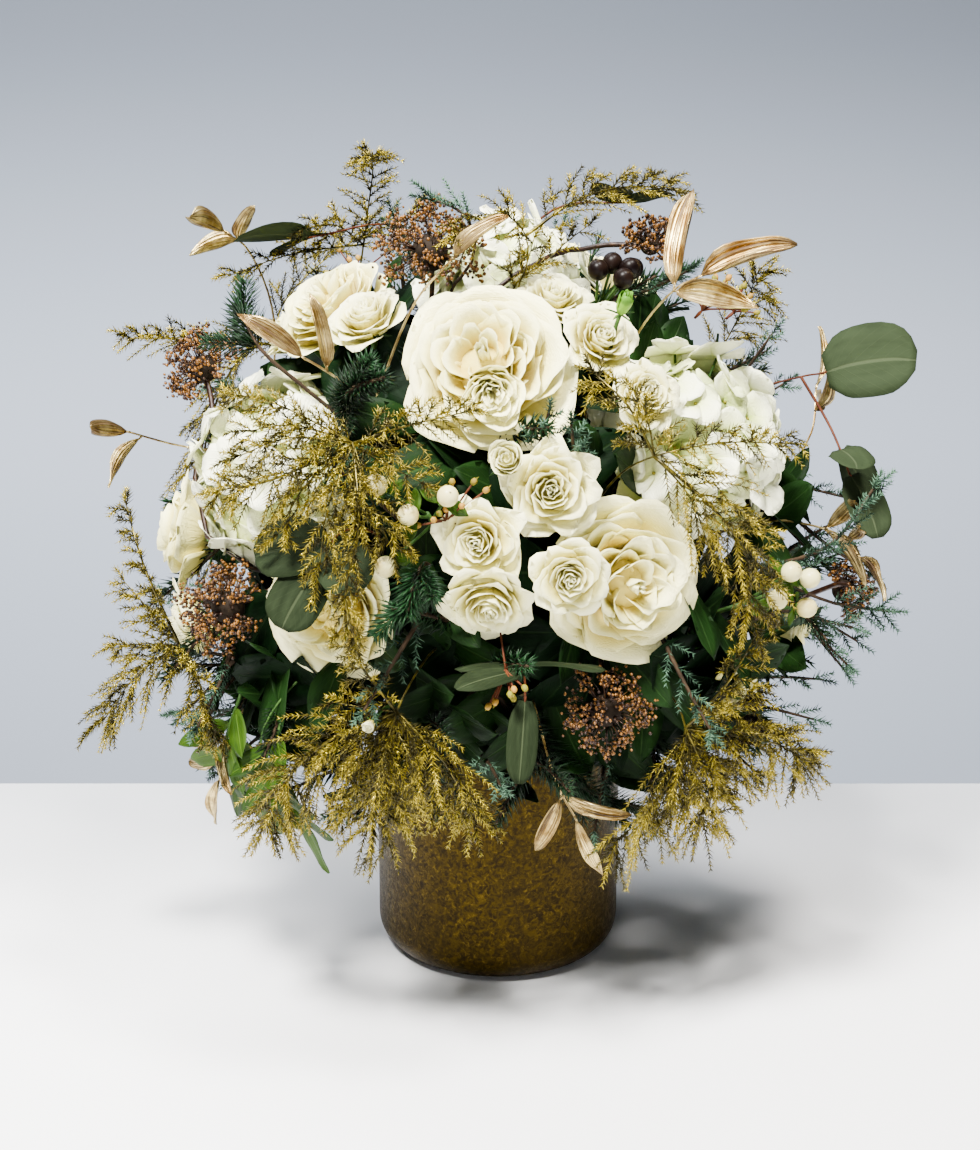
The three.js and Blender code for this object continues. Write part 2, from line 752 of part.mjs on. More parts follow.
// A mophead: a cube's grid puffed to a ball, with a four-petalled floret on each square. The
// squares that face the stem stay bare.
const mopheadCore = 0.82; // by the head's radius
const bareBelow = -0.25; // no florets where the head looks this much towards its stem
function hydrangeaHead({ at, size, cells }, seed) {
  const draw = seeded(seed);
  const middle = place(at);
  const outward = middle.clone().sub(heartPoint).normalize();
  const turn = new THREE.Quaternion().setFromUnitVectors(V(0, 0, 1), outward);
  const points = [];
  const index = [];
  const spot = (way, radius) => middle.clone().addScaledVector(way, radius);
  const faces = [[0, 1, 2], [1, 2, 0], [2, 0, 1]].flatMap((axes) => [[1, axes], [-1, axes]]);
  for (const [sign, [x, y, z]] of faces)
    for (let i = 0; i < cells; i++)
      for (let j = 0; j < cells; j++) {
        const way = (u, v) => {
          const local = V();
          local.setComponent(x, Math.tan((((2 * (i + u)) / cells - 1) * Math.PI) / 4));
          local.setComponent(y, Math.tan((((2 * (j + v)) / cells - 1) * Math.PI) / 4) * sign);
          local.setComponent(z, sign);
          return local.normalize().applyQuaternion(turn);
        };
        const ring = [[0, 0], [1, 0], [1, 1], [0, 1]];
        const corners = ring.map(([u, v]) => points.push(spot(way(u, v), mopheadCore * size)) - 1);
        if (way(0.5, 0.5).dot(outward) < bareBelow) {
          index.push(corners[0], corners[1], corners[2], corners[0], corners[2], corners[3]);
          continue;
        }
        const level = size * (0.93 + 0.06 * draw());
        const inset = (k, by, radius) => {
          const [u, v] = ring[k % 4];
          return way(0.5 + (u - 0.5) * by, 0.5 + (v - 0.5) * by).multiplyScalar(radius);
        };
        const tips = ring.map((_, k) => points.push(inset(k, 0.9, level + 0.04 * size).add(middle)) - 1);
        const notches = ring.map((_, k) => {
          const between = inset(k, 0.62, level).add(inset(k + 1, 0.62, level)).multiplyScalar(0.5);
          return points.push(between.add(middle)) - 1;
        });
        const throat = points.push(spot(way(0.5, 0.5), level - 0.05 * size)) - 1;
        for (let k = 0; k < 4; k++) {
          const next = (k + 1) % 4;
          const before = (k + 3) % 4;
          index.push(corners[k], corners[next], notches[k]);
          index.push(corners[k], notches[k], tips[k], corners[k], tips[k], notches[before]);
          index.push(throat, tips[k], notches[k], throat, notches[before], tips[k]);
        }
      }
  return fromFaces(points, index);
}

// ---------------------------------------------------------------- foliage
// A leaf's outline from its foot: its share of the length, and of the half width.
const lance = [[0.38, 1], [0.74, 0.72]];
const round = [[0.3, 0.85], [0.74, 0.92]];
const leafThickness = 1.5;

// A leaf that grows out of a stem's side or end. Face 0 is the end, 1 and 3 the two sides.
function leaf(foot, way, { along, side, up }, face, [length, width], outline, bend) {
  const across = (face ? along : side).clone();
  across.addScaledVector(way, -across.dot(way)).normalize();
  const over = way.clone().cross(across);
  if (over.dot(up) < 0) over.negate();
  const at = (share) =>
    foot
      .clone()
      .addScaledVector(way, length * share)
      .addScaledVector(over, -bend * length * share * share);
  const sections = outline.map(([share, half]) => {
    const reach = (half * width) / 2;
    const rib = leafThickness / 2;
    const [forward, back] = [1, -1].map((hand) =>
      at(share).addScaledVector(across, hand * reach).addScaledVector(over, 0.2 * reach),
    );
    const [top, bottom] = [rib, -rib].map((by) => at(share).addScaledVector(over, by));
    if (face === 0) return [back, top, forward, bottom];
    return face === 1 ? [top, back, bottom, forward] : [bottom, back, top, forward];
  });
  return { sections, tip: at(1) };
}

// Ways to bend a leaf or needle clear, mildest first: lift, turn forward and shrink.
const bends = [
  [0, 0, 1], [0.3, 0, 1], [0.3, 0.4, 1], [0.7, 0.2, 1], [0, -0.4, 1],
  [-0.3, 0, 1], [0.3, 0.2, 0.8], [1.2, 0, 0.8], [0.8, 0.4, 0.6], [0.3, -0.3, 0.6], [0.3, 0.3, 0.45],
];

function leafySpray(name, spray, { spacing, outline, bend, spread }, seed) {
  const draw = seeded(seed);
  const pieces = branchesOf(name, spray).map((branch) => {
    const { path, leaves, leaf: size } = branch;
    const node = 3;
    const nodes = Math.ceil((leaves - 1) / 2); // a pair of leaves at each, and one at the end
    const first = path.length - nodes * spacing;
    const places = Array.from({ length: nodes }, (_, k) => first + k * spacing);
    const distances = [...places.flatMap((d) => [d, d + node]), path.length];
    const rings = branchRings({ ...branch, leafy: distances[0] }, distances, 1.5, 1);
    const start = rings.length - distances.length;
    const leavesAt = (distance, face, sideways) => {
      const frame = path.at(distance);
      const rise = 0.3 * draw();
      const scale = 0.85 + 0.25 * draw();
      return bends.map(([lift, turn, shrink]) => {
        const way = mix(frame, (face ? 0.65 : 1) + turn, sideways * (1 - turn), rise + lift);
        const leafSize = size.map((x) => x * scale * shrink);
        return leaf(frame.middle, way, frame, face, leafSize, outline, bend);
      });
    };
    const growth = (k, face) => {
      if (k === "end") return leavesAt(path.length, 0, 0.1);
      const n = k - start;
      const count = face === 1 ? n : n + 1;
      if (n < 0 || n % 2 || !(face % 2) || count >= leaves - 1) return [];
      return leavesAt(distances[n] + node / 2, face, (face === 1 ? 1 : -1) * spread);
    };
    return (branch.rooted ? rooted : rod)(rings, evenly(4), growth);
  });
  return join(pieces);
}

// A twig of needles: short stretches of its stem each carry three, one up and one to each side,
// out to its tip.
function needleSpray(name, spray, look, seed) {
  const { radius, spacing, reach, taper, forward, lift, fall } = look;
  const draw = seeded(seed);
  const pieces = branchesOf(name, spray).map((branch) => {
    const { path, leafy } = branch;
    const tufts = Math.max(3, Math.round((path.length - leafy) / spacing));
    const step = (path.length - leafy) / tufts;
    const base = 2.2;
    const places = Array.from({ length: tufts }, (_, k) => leafy + k * step);
    const distances = [...places.flatMap((d) => [d, d + base]), path.length];
    const rings = branchRings(branch, distances, radius, 0.5 * radius);
    const first = rings.length - distances.length;
    const needles = (k, face) => {
      if (k === "end" || k < first || (k - first) % 2) return [];
      const share = (k - first) / distances.length;
      const frame = path.at(distances[k - first]);
      const long = (branch.reach ?? reach) * (1 - taper * share) * (0.85 + 0.3 * draw());
      const sideways = [0.25 * (draw() - 0.5), 1, -1][face];
      const rise = face ? 0.25 * (draw() - 0.2) : lift;
      return bends.map(([up, turn, shrink]) => {
        const way = mix(frame, forward + turn, sideways, rise + up);
        way.z -= fall;
        const length = long * shrink * (face ? 1 : 0.7);
        return { tip: frame.middle.clone().addScaledVector(way.normalize(), length) };
      });
    };
    return (branch.rooted ? rooted : rod)(rings, evenly(3), needles);
  });
  return join(pieces);
}

// Skimmia: a stem that swells to a domed head, with a bud standing out of each face.
const headProfile = [[0.3, -0.8], [0.72, -0.45], [0.8, 0.05], [0.6, 0.5], [0, 0.75]];
function skimmiaSpray(name, spray, seed) {
  const draw = seeded(seed);
  const pieces = branchesOf(name, spray).map((branch) => {
    const { path, head } = branch;
    const tip = path.points.at(-1);
    bloomBalls.push({ middle: tip, radius: head * 1.1 });
    const out = tip.clone().sub(heartPoint).normalize();
    const feet = branchRings({ ...branch, leafy: path.length - 1.2 * head }, [], 1.7, 1.7);
    const middles = feet.map(({ middle }) => middle);
    const radii = feet.map(() => 1.7);
    const first = middles.length;
    for (const [radius, height] of headProfile) {
      middles.push(tip.clone().addScaledVector(out, height * head));
      radii.push(radius * head);
    }
    const rings = ringsThrough(middles, radii);
    const bud = (k, face) => {
      if (k === "end" || k < first || k > first + 2) return [];
      const { up, side } = rings[k];
      const angle = (face * 2 * Math.PI) / 5;
      const height = (headProfile[k - first][1] + headProfile[k - first + 1][1]) / 2;
      const way = up.clone().multiplyScalar(Math.cos(angle)).addScaledVector(side, Math.sin(angle));
      way.multiplyScalar(Math.sqrt(1 - height * height)).addScaledVector(out, height + 0.15);
      const reach = head * (1.05 + 0.2 * draw());
      return [1, 0.85].map((shrink) => ({
        tip: tip.clone().addScaledVector(way.clone().normalize(), reach * shrink),
      }));
    };
    return (branch.rooted ? rooted : rod)(rings, evenly(5), bud);
  });
  return join(pieces);
}

// Berries on stalks that leave the stem one above another, each with a green leaf behind it if
// leafSize is given.
function berrySpray(name, fork, berries, radius, leafSize) {
  const root = [...rootOf(name), place(fork)];
  const back = root[1].clone().sub(root[2]).normalize();
  const pieces = [rooted(ringsThrough(root, [1.6, 1.6, 1.4]), evenly(5))];
  berries.forEach((middle, n) => {
    const start = root[2].clone().addScaledVector(back, 1.5 + 3.5 * n);
    const along = middle.clone().sub(start).normalize();
    const on = (d) => middle.clone().addScaledVector(along, d * radius);
    const stalk = leafSize ? [start, on(-1.2), on(-0.95)] : [start, on(-0.95)];
    const points = [...stalk, on(-0.3), on(0.5), on(1)];
    const radii = [...stalk.map(() => 1), 0.98 * radius, 0.88 * radius, 0];
    const rings = ringsThrough(points, radii);
    const sepal = (k, face) => {
      if (k !== 1 || !leafSize || face !== 1) return [];
      const { up, side } = rings[1];
      const angle = (face * 2 * Math.PI) / 5;
      const way = up.clone().multiplyScalar(Math.cos(angle)).addScaledVector(side, Math.sin(angle));
      const over = way.clone().cross(along);
      const at = (share, across, by) =>
        on(-1.1)
          .addScaledVector(way, share * leafSize)
          .addScaledVector(over, across * leafSize)
          .addScaledVector(along, by + 3 * share * share);
      const wide = [at(0.5, 0.3, 0.4), at(0.5, 0, -0.7), at(0.5, -0.3, 0.4), at(0.5, 0, 0.7)];
      return [{ sections: [wide], tip: at(1, 0, 0) }];
    };
    pieces.push(rod(rings, evenly(5), sepal));
  });
  return join(pieces);
}

function darkBerryPlaces({ middle, spread, count }) {
  const centre = place(middle);
  const out = centre.clone().sub(heartPoint).normalize();
  const turn = new THREE.Quaternion().setFromUnitVectors(V(0, 0, 1), out);
  return Array.from({ length: count }, (_, k) => {
    const angle = k * 137.508 * radians;
    const level = spread * Math.sqrt((k + 0.4) / count);
    const way = V(level * Math.cos(angle), level * Math.sin(angle), 6 - 0.5 * level);
    return centre.clone().add(way.applyQuaternion(turn));
  });
}

// ---------------------------------------------------------------- assembly
const centerpiece = new THREE.Group();

// A neighbour with a thin clear layer round it: copies of it, shifted each way.
function withClearance(neighbour) {
  const shifts = [0, 1, 2].flatMap((axis) =>
    [-clearance, clearance].map((by) => [0, 1, 2].map((k) => (k === axis ? by : 0))),
  );
  return join([neighbour, ...shifts.map((by) => neighbour.translate(by))]);
}

// Adds one node, cut clear of what stands there already, with its loose scraps dropped.
function add(name, shape, [colour, roughness, metalness]) {
  let made = shape;
  const box = shape.boundingBox();
  for (const other of placed)
    if (near(box, other.box) && made.minGap(other.solid, 1) < clearance - 0.05) {
      other.grown ??= withClearance(other.solid);
      made = made.subtract(other.grown);
    }
  const bodies = made.simplify(0.06).decompose();
  made = bodies.reduce((a, b) => (b.volume() > a.volume() ? b : a));
  placed.push({ name, solid: made, box: made.boundingBox() });
  const { numProp, vertProperties, triVerts } = made.getMesh();
  const geometry = new THREE.BufferGeometry();
  geometry.setAttribute("position", new THREE.BufferAttribute(vertProperties, numProp));
  geometry.setIndex(new THREE.BufferAttribute(triVerts, 1));
  geometry.computeVertexNormals();
  const material = new THREE.MeshStandardMaterial({ color: colour, roughness, metalness });
  const mesh = new THREE.Mesh(geometry, material);
  mesh.name = name;
  centerpiece.add(mesh);
}

// What stands in the foam, and what foliage bends clear of.
for (const bloom of [...sprayRoses.flatMap((spray) => spray.blooms), ...gardenRoses]) {
  const { axis, base } = bloomFrame(bloom);
  const middle = base.addScaledVector(axis, bloom.size * 0.14);
  bloomBalls.push({ middle, radius: bloom.size * 1.04 });
}
for (const { at, size } of hydrangeas) bloomBalls.push({ middle: place(at), radius: size * 1.1 });

sprayRoses.forEach(({ name, fork }) => planStem("spray_rose_" + name, place(fork)));
gardenRoses.forEach((bloom) => planStem("garden_rose_" + bloom.name, bloomFrame(bloom).base));
hydrangeas.forEach(({ name, at }) => planStem("hydrangea_" + name, place(at)));
hypericums.forEach(({ name, fork }) => planStem("hypericum_" + name, place(fork)));
planStem("dark_berries", place(darkBerries.fork));
const sprayKinds = {
  skimmia: skimmias, gold_leaves: goldLeaves, eucalyptus, ruscus, fir: firs, juniper: junipers,
  gold_fern: goldFerns,
};
const sprayNode = (kind, { name }) => (name ? kind + "_" + name : kind);
for (const [kind, sprays] of Object.entries(sprayKinds))
  sprays.forEach((spray) => planStem(sprayNode(kind, spray), place(spray.branches[0].via[0])));
spreadStems();

add("vase", vaseSolid(), colours.vase);

sprayRoses.forEach(({ name, fork, blooms }) => {
  const node = "spray_rose_" + name;
  const points = [...rootOf(node), place(fork)];
  const back = points[1].clone().sub(points[2]).normalize();
  const pieces = [rooted(ringsThrough(points, [2.3, 2.3, 2.1]), evenly(5))];
  blooms.forEach((bloom, n) => {
    const start = points[2].clone().addScaledVector(back, 2 + 4 * n);
    pieces.push(stalkedRose(bloom, bloom.size > 30 ? largeRose : smallRose, start));
  });
  add(node, join(pieces), colours.petal);
});

gardenRoses.forEach((bloom) => {
  const node = "garden_rose_" + bloom.name;
  add(node + "_bloom", roseHead(bloom, largeRose), colours.petal);
  add(node + "_stem", roseStem(bloom, rootOf(node), 2.8), colours.stem);
});

hydrangeas.forEach((head, k) => {
  const node = "hydrangea_" + head.name;
  add(node + "_head", hydrangeaHead(head, 201 + k), colours.floret);
  const middle = place(head.at);
  const inward = heartPoint.clone().sub(middle).normalize();
  const flat = mopheadCore / Math.hypot(1, Math.SQRT2 * Math.tan(Math.PI / 4 / head.cells));
  const top = middle.addScaledVector(inward, head.size * flat + 1.2 * clearance);
  add(node + "_stem", rooted(ringsThrough([...rootOf(node), top], [3, 3, 2.8]), evenly(5)), colours.stem);
});

for (const { name, fork, berries } of hypericums) {
  const node = "hypericum_" + name;
  add(node, berrySpray(node, fork, berries.map(place), 5.6, 13), colours.hypericum);
}
const { fork: darkFork, berry } = darkBerries;
const bunch = berrySpray("dark_berries", darkFork, darkBerryPlaces(darkBerries), berry);
add("dark_berries", bunch, colours.berry);

const goldLook = { spacing: 16, outline: lance, bend: 0.16, spread: 0.8 };
const roundLook = { spacing: 17, outline: round, bend: 0.06, spread: 0.9 };
const ruscusLook = { spacing: 9, outline: lance, bend: 0.12, spread: 0.8 };
const firLook = { radius: 2, spacing: 10.5, reach: 20, taper: 0.3, forward: 0.7, lift: 0.8, fall: 0 };
const juniperLook = { radius: 1.7, spacing: 11, reach: 20, taper: 0.5, forward: 1, lift: 0.7, fall: 0 };
const fernLook = { radius: 1.7, spacing: 26, reach: 34, taper: 0.6, forward: 0.8, lift: 0.5, fall: 0.25 };
const foliage = [
  ["skimmia", skimmias, skimmiaSpray, 31, colours.skimmia],
  ["gold_leaves", goldLeaves, leafySpray, goldLook, 41, colours.leafGold],
  ["eucalyptus", eucalyptus, leafySpray, roundLook, 51, colours.eucalyptus],
  ["ruscus", ruscus, leafySpray, ruscusLook, 61, colours.ruscus],
  ["fir", firs, needleSpray, firLook, 71, colours.fir],
  ["juniper", junipers, needleSpray, juniperLook, 81, colours.juniper],
  ["gold_fern", goldFerns, needleSpray, fernLook, 91, colours.gold],
];
for (const [kind, sprays, make, ...rest] of foliage)
  sprays.forEach((spray, k) => {
    const node = sprayNode(kind, spray);
    const colour = rest.at(-1);
    const seed = rest.at(-2) + k;
    add(node, make(node, spray, ...rest.slice(0, -2), seed), colour);
  });

add("floral_foam", foamSolid(), colours.foam);

export default centerpiece;
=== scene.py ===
import math
import bpy
import numpy as np
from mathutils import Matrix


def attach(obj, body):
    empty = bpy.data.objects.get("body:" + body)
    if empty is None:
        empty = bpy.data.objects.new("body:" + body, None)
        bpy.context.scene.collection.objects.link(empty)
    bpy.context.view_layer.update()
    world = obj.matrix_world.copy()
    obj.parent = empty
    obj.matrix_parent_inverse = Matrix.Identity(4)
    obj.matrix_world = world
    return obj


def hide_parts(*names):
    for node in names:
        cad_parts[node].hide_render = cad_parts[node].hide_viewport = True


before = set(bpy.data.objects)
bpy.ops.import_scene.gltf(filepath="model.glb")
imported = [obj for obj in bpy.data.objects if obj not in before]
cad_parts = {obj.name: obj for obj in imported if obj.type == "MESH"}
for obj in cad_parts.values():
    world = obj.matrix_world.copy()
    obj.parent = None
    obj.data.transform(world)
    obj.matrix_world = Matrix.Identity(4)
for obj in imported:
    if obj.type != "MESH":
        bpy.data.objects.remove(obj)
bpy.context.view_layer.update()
print("frame loaded:", len(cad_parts), "nodes")

# Places are in millimetres and meshes in metres. The front is -Y. A spot is an azimuth (0 in
# front, 90 to the right), an elevation and a distance from the middle of the flower ball.
unit = 0.001
ballMiddle = np.array([0.0, 0.0, 270.0])
heart = np.array([0.0, 0.0, 172.0])  # the point in the foam that all stems come from
down = np.array([0.0, 0.0, -1.0])
goldenAngle = math.radians(137.508)
fullTurn = 2 * math.pi


def towards(azimuth, elevation):
    a, e = math.radians(azimuth), math.radians(elevation)
    return np.array([math.sin(a) * math.cos(e), -math.cos(a) * math.cos(e), math.sin(e)])


def place(spot):
    return ballMiddle + towards(spot[0], spot[1]) * spot[2]


def unitOf(vectors):
    return vectors / np.maximum(np.linalg.norm(vectors, axis=-1, keepdims=True), 1e-9)


def acrossOf(ways):
    # two directions square to each way
    ways = np.atleast_2d(ways)
    helper = np.where(np.abs(ways[:, 2:3]) > 0.9, [[1.0, 0, 0]], [[0, 0, 1.0]])
    x = unitOf(np.cross(helper, ways))
    return x, np.cross(ways, x)


def nodePoints(node):
    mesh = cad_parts[node].data
    points = np.zeros(len(mesh.vertices) * 3, np.float32)
    mesh.vertices.foreach_get("co", points)
    return points.reshape(-1, 3).astype(float) / unit


triangles = {}  # by piece


class Batch:
    # one piece's points and faces. A point's grain is its place across and along a petal or
    # leaf, and its tone is a share from 0 to 1 that the materials mix colours by; on petals and
    # florets the tone is mostly painted shade by depth.
    def __init__(self, *looks):
        self.looks = looks
        self.points, self.grain, self.tones = [], [], []
        self.faces, self.slots = {3: [], 4: []}, {3: [], 4: []}
        self.count = 0

    def add(self, points, faces, grain, tone, look=0):
        points = points.reshape(-1, 3)
        self.points.append(points)
        self.grain.append(np.broadcast_to(grain, (len(points), 2)))
        self.tones.append(np.broadcast_to(tone, (len(points),)))
        for part in faces:
            self.faces[part.shape[1]].append(part + self.count)
            self.slots[part.shape[1]].append(np.full(len(part), look))
        self.count += len(points)

    def piece(self, name, slot, *nodes):
        mesh = bpy.data.meshes.new(name)
        for look in self.looks:
            mesh.materials.append(paints[look])
        kinds = [kind for kind in (3, 4) if self.faces[kind]]
        faces = [np.concatenate(self.faces[kind]) for kind in kinds]
        slots = np.concatenate([np.concatenate(self.slots[kind]) for kind in kinds])
        loops = np.concatenate([part.ravel() for part in faces])
        sizes = np.concatenate([np.full(len(part), part.shape[1]) for part in faces])
        mesh.vertices.add(self.count)
        mesh.loops.add(len(loops))
        mesh.polygons.add(len(sizes))
        mesh.vertices.foreach_set("co", (np.concatenate(self.points) * unit).astype(np.float32).ravel())
        mesh.loops.foreach_set("vertex_index", loops.astype(np.int32))
        starts = np.cumsum(sizes) - sizes
        for key, values in {"loop_start": starts, "loop_total": sizes, "material_index": slots}.items():
            mesh.polygons.foreach_set(key, values.astype(np.int32))
        mesh.polygons.foreach_set("use_smooth", np.full(len(sizes), True))
        mesh.update(calc_edges=True)
        grain = np.concatenate(self.grain)[loops]
        mesh.uv_layers.new(name="grain").data.foreach_set("uv", grain.astype(np.float32).ravel())
        tone = mesh.attributes.new("tone", "FLOAT", "POINT")
        tone.data.foreach_set("value", np.concatenate(self.tones).astype(np.float32))
        made = bpy.data.objects.new(name, mesh)
        bpy.context.scene.collection.objects.link(made)
        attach(made, "root")
        if nodes:
            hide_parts(*nodes)
        triangles[name] = int((sizes - 2).sum())


def gridFaces(rows, cols, flip=False):
    i, j = np.meshgrid(np.arange(rows - 1), np.arange(cols - 1), indexing="ij")
    a = (i * cols + j).ravel()
    quads = np.stack([a, a + 1, a + cols + 1, a + cols], axis=1)
    return quads[:, ::-1] if flip else quads


def ringFaces(rows, sides):
    # stacked rings of points, closed by a point at each end; those two come last
    i, j = np.meshgrid(np.arange(rows - 1), np.arange(sides), indexing="ij")
    a, b = (i * sides + j).ravel(), (i * sides + (j + 1) % sides).ravel()
    here = np.arange(sides)
    after = (here + 1) % sides
    top = (rows - 1) * sides
    end = np.full(sides, rows * sides)
    caps = [np.stack([after, here, end], axis=1), np.stack([here + top, after + top, end + 1], axis=1)]
    return np.stack([a, b, b + sides, a + sides], axis=1), np.concatenate(caps)


def repeated(faces, count, each):
    # the same faces for each of several lots of points
    return (faces[None] + (np.arange(count) * each)[:, None, None]).reshape(-1, faces.shape[1])


def blades(batch, sheets, thickness, tones, look=0):
    # closed thin blades from sheets of points (blade, row, column, xyz)
    count, rows, cols, _ = sheets.shape
    normals = unitOf(np.cross(np.gradient(sheets, axis=2), np.gradient(sheets, axis=1)))
    v, u = np.meshgrid(np.linspace(0, 1, rows), np.linspace(0, 1, cols), indexing="ij")
    thinner = 0.25 + 0.75 * np.minimum(1, 6 * np.minimum(np.minimum(u, 1 - u), 1 - v))  # at the rims
    half = normals * thickness * 0.5 * thinner[..., None]
    each = rows * cols
    rim = np.concatenate([
        np.arange(cols - 1), np.arange(cols - 1, each - 1, cols),
        np.arange(each - 1, each - cols, -1), np.arange(each - cols, 0, -cols),
    ])
    after = np.roll(rim, -1)
    edge = np.stack([after, rim, rim + each, after + each], axis=1)
    one = np.concatenate([gridFaces(rows, cols), gridFaces(rows, cols, True) + each, edge])
    grain = np.tile(np.stack([u.ravel(), v.ravel()], axis=1), (2 * count, 1))
    tones = np.broadcast_to(np.asarray(tones, float).reshape(count, 1, -1), (count, 2, each))
    points = np.stack([sheets + half, sheets - half], axis=1)
    batch.add(points, [repeated(one, count, 2 * each)], grain, tones.ravel(), look)


def tube(batch, points, radii, sides=6, tone=0.5, look=0):
    # a round stem through points
    points = np.asarray(points, float)
    rows = len(points)
    radii = np.broadcast_to(np.asarray(radii, float), (rows,))
    ways = unitOf(np.gradient(points, axis=0))
    turn = np.linspace(0, fullTurn, sides, endpoint=False)[:, None]
    side = acrossOf(ways[0])[0][0]
    rings = []
    for point, way, radius in zip(points, ways, radii):
        side = unitOf(side - way * (side @ way))
        rings.append(point + radius * (np.cos(turn) * side + np.sin(turn) * np.cross(way, side)))
    around, along = np.tile(np.arange(sides) / sides, rows), np.repeat(np.linspace(0, 1, rows), sides)
    grain = np.concatenate([np.stack([around, along], axis=1), [[0.5, 0], [0.5, 1]]])
    batch.add(np.concatenate([*rings, points[[0, -1]]]), ringFaces(rows, sides), grain, tone, look)


def needles(batch, feet, tips, width, tones, look=0, thick=None):
    # closed three-sided needles, or flatter ones where thick is given
    feet, tips = np.atleast_2d(feet), np.atleast_2d(tips)
    ways = unitOf(tips - feet)
    count = len(feet)
    if thick is None:
        x, y = acrossOf(ways)
        turn = (np.arange(count) * 2.4)[:, None]
        turns = [turn + k for k in (0, 2.094, 4.189)]
        corners = [feet + width * 0.5 * (np.cos(t) * x + np.sin(t) * y) for t in turns]
        points = np.stack([*corners, tips], axis=1)
        one = np.array([[0, 1, 3], [1, 2, 3], [2, 0, 3], [2, 1, 0]])
        along = [0, 0, 0, 1]
    else:
        middle = feet + (tips - feet) * 0.45
        level = unitOf(np.cross(ways, unitOf(feet - ballMiddle)))
        over = np.cross(level, ways) * thick
        side = level * width * 0.5
        belt = [middle + side, middle + over, middle - side, middle - over * 0.4]
        points = np.stack([feet, *belt, tips], axis=1)
        one = np.array([[0, 1, 2], [0, 2, 3], [0, 3, 4], [0, 4, 1],
                        [5, 2, 1], [5, 3, 2], [5, 4, 3], [5, 1, 4]])
        along = [0, 0.45, 0.5, 0.45, 0.4, 1]
    each = len(along)
    grain = np.tile([(0.5, share) for share in along], (count, 1))
    batch.add(points, [repeated(one, count, each)], grain, np.repeat(tones, each), look)


def beads(batch, middles, radius, tones, rings=4, sides=6, ways=None, long=1.0, look=0):
    # small round or egg-shaped beads along their ways
    middles = np.atleast_2d(middles)
    count = len(middles)
    radius = np.broadcast_to(radius, (count,))[:, None, None]
    ways = unitOf(middles - heart) if ways is None else np.atleast_2d(ways)
    x, y = acrossOf(ways)
    lift = np.linspace(0, math.pi, rings + 1)[1:-1]
    turn = np.linspace(0, fullTurn, sides, endpoint=False)
    t, l = (grid.ravel()[None, :, None] for grid in np.meshgrid(turn, lift))
    ring = np.sin(l) * (np.cos(t) * x[:, None] + np.sin(t) * y[:, None]) - np.cos(l) * long * ways[:, None]
    tip = radius * long * ways[:, None]
    middles = middles[:, None]
    points = np.concatenate([middles + radius * ring, middles - tip, middles + tip], axis=1)
    each = points.shape[1]
    around, along = np.tile(turn / fullTurn, rings - 1), np.repeat(lift / math.pi, sides)
    grain = np.concatenate([np.stack([around, along], axis=1), [[0.5, 0], [0.5, 1]]])
    faces = [repeated(part, count, each) for part in ringFaces(rings - 1, sides)]
    tones = np.repeat(np.broadcast_to(tones, (count,)), each)
    batch.add(points, faces, np.tile(grain, (count, 1)), tones, look)


class Value:
    # a socket in shader maths: 1 - mask or mask * 0.4 adds its Math node
    def __init__(self, paint, socket):
        self.paint, self.socket = paint, socket

    def calc(self, operation, *others):
        return self.paint.add("Math", {"operation": operation}, dict(enumerate([self, *others])))

    def __add__(self, other):
        return self.calc("ADD", other)

    def __mul__(self, other):
        return self.calc("MULTIPLY", other)

    def __sub__(self, other):
        return self.calc("SUBTRACT", other)

    def __rsub__(self, other):
        return self.paint.add("Math", {"operation": "SUBTRACT"}, {0: other, 1: self})

    __radd__, __rmul__ = __add__, __mul__


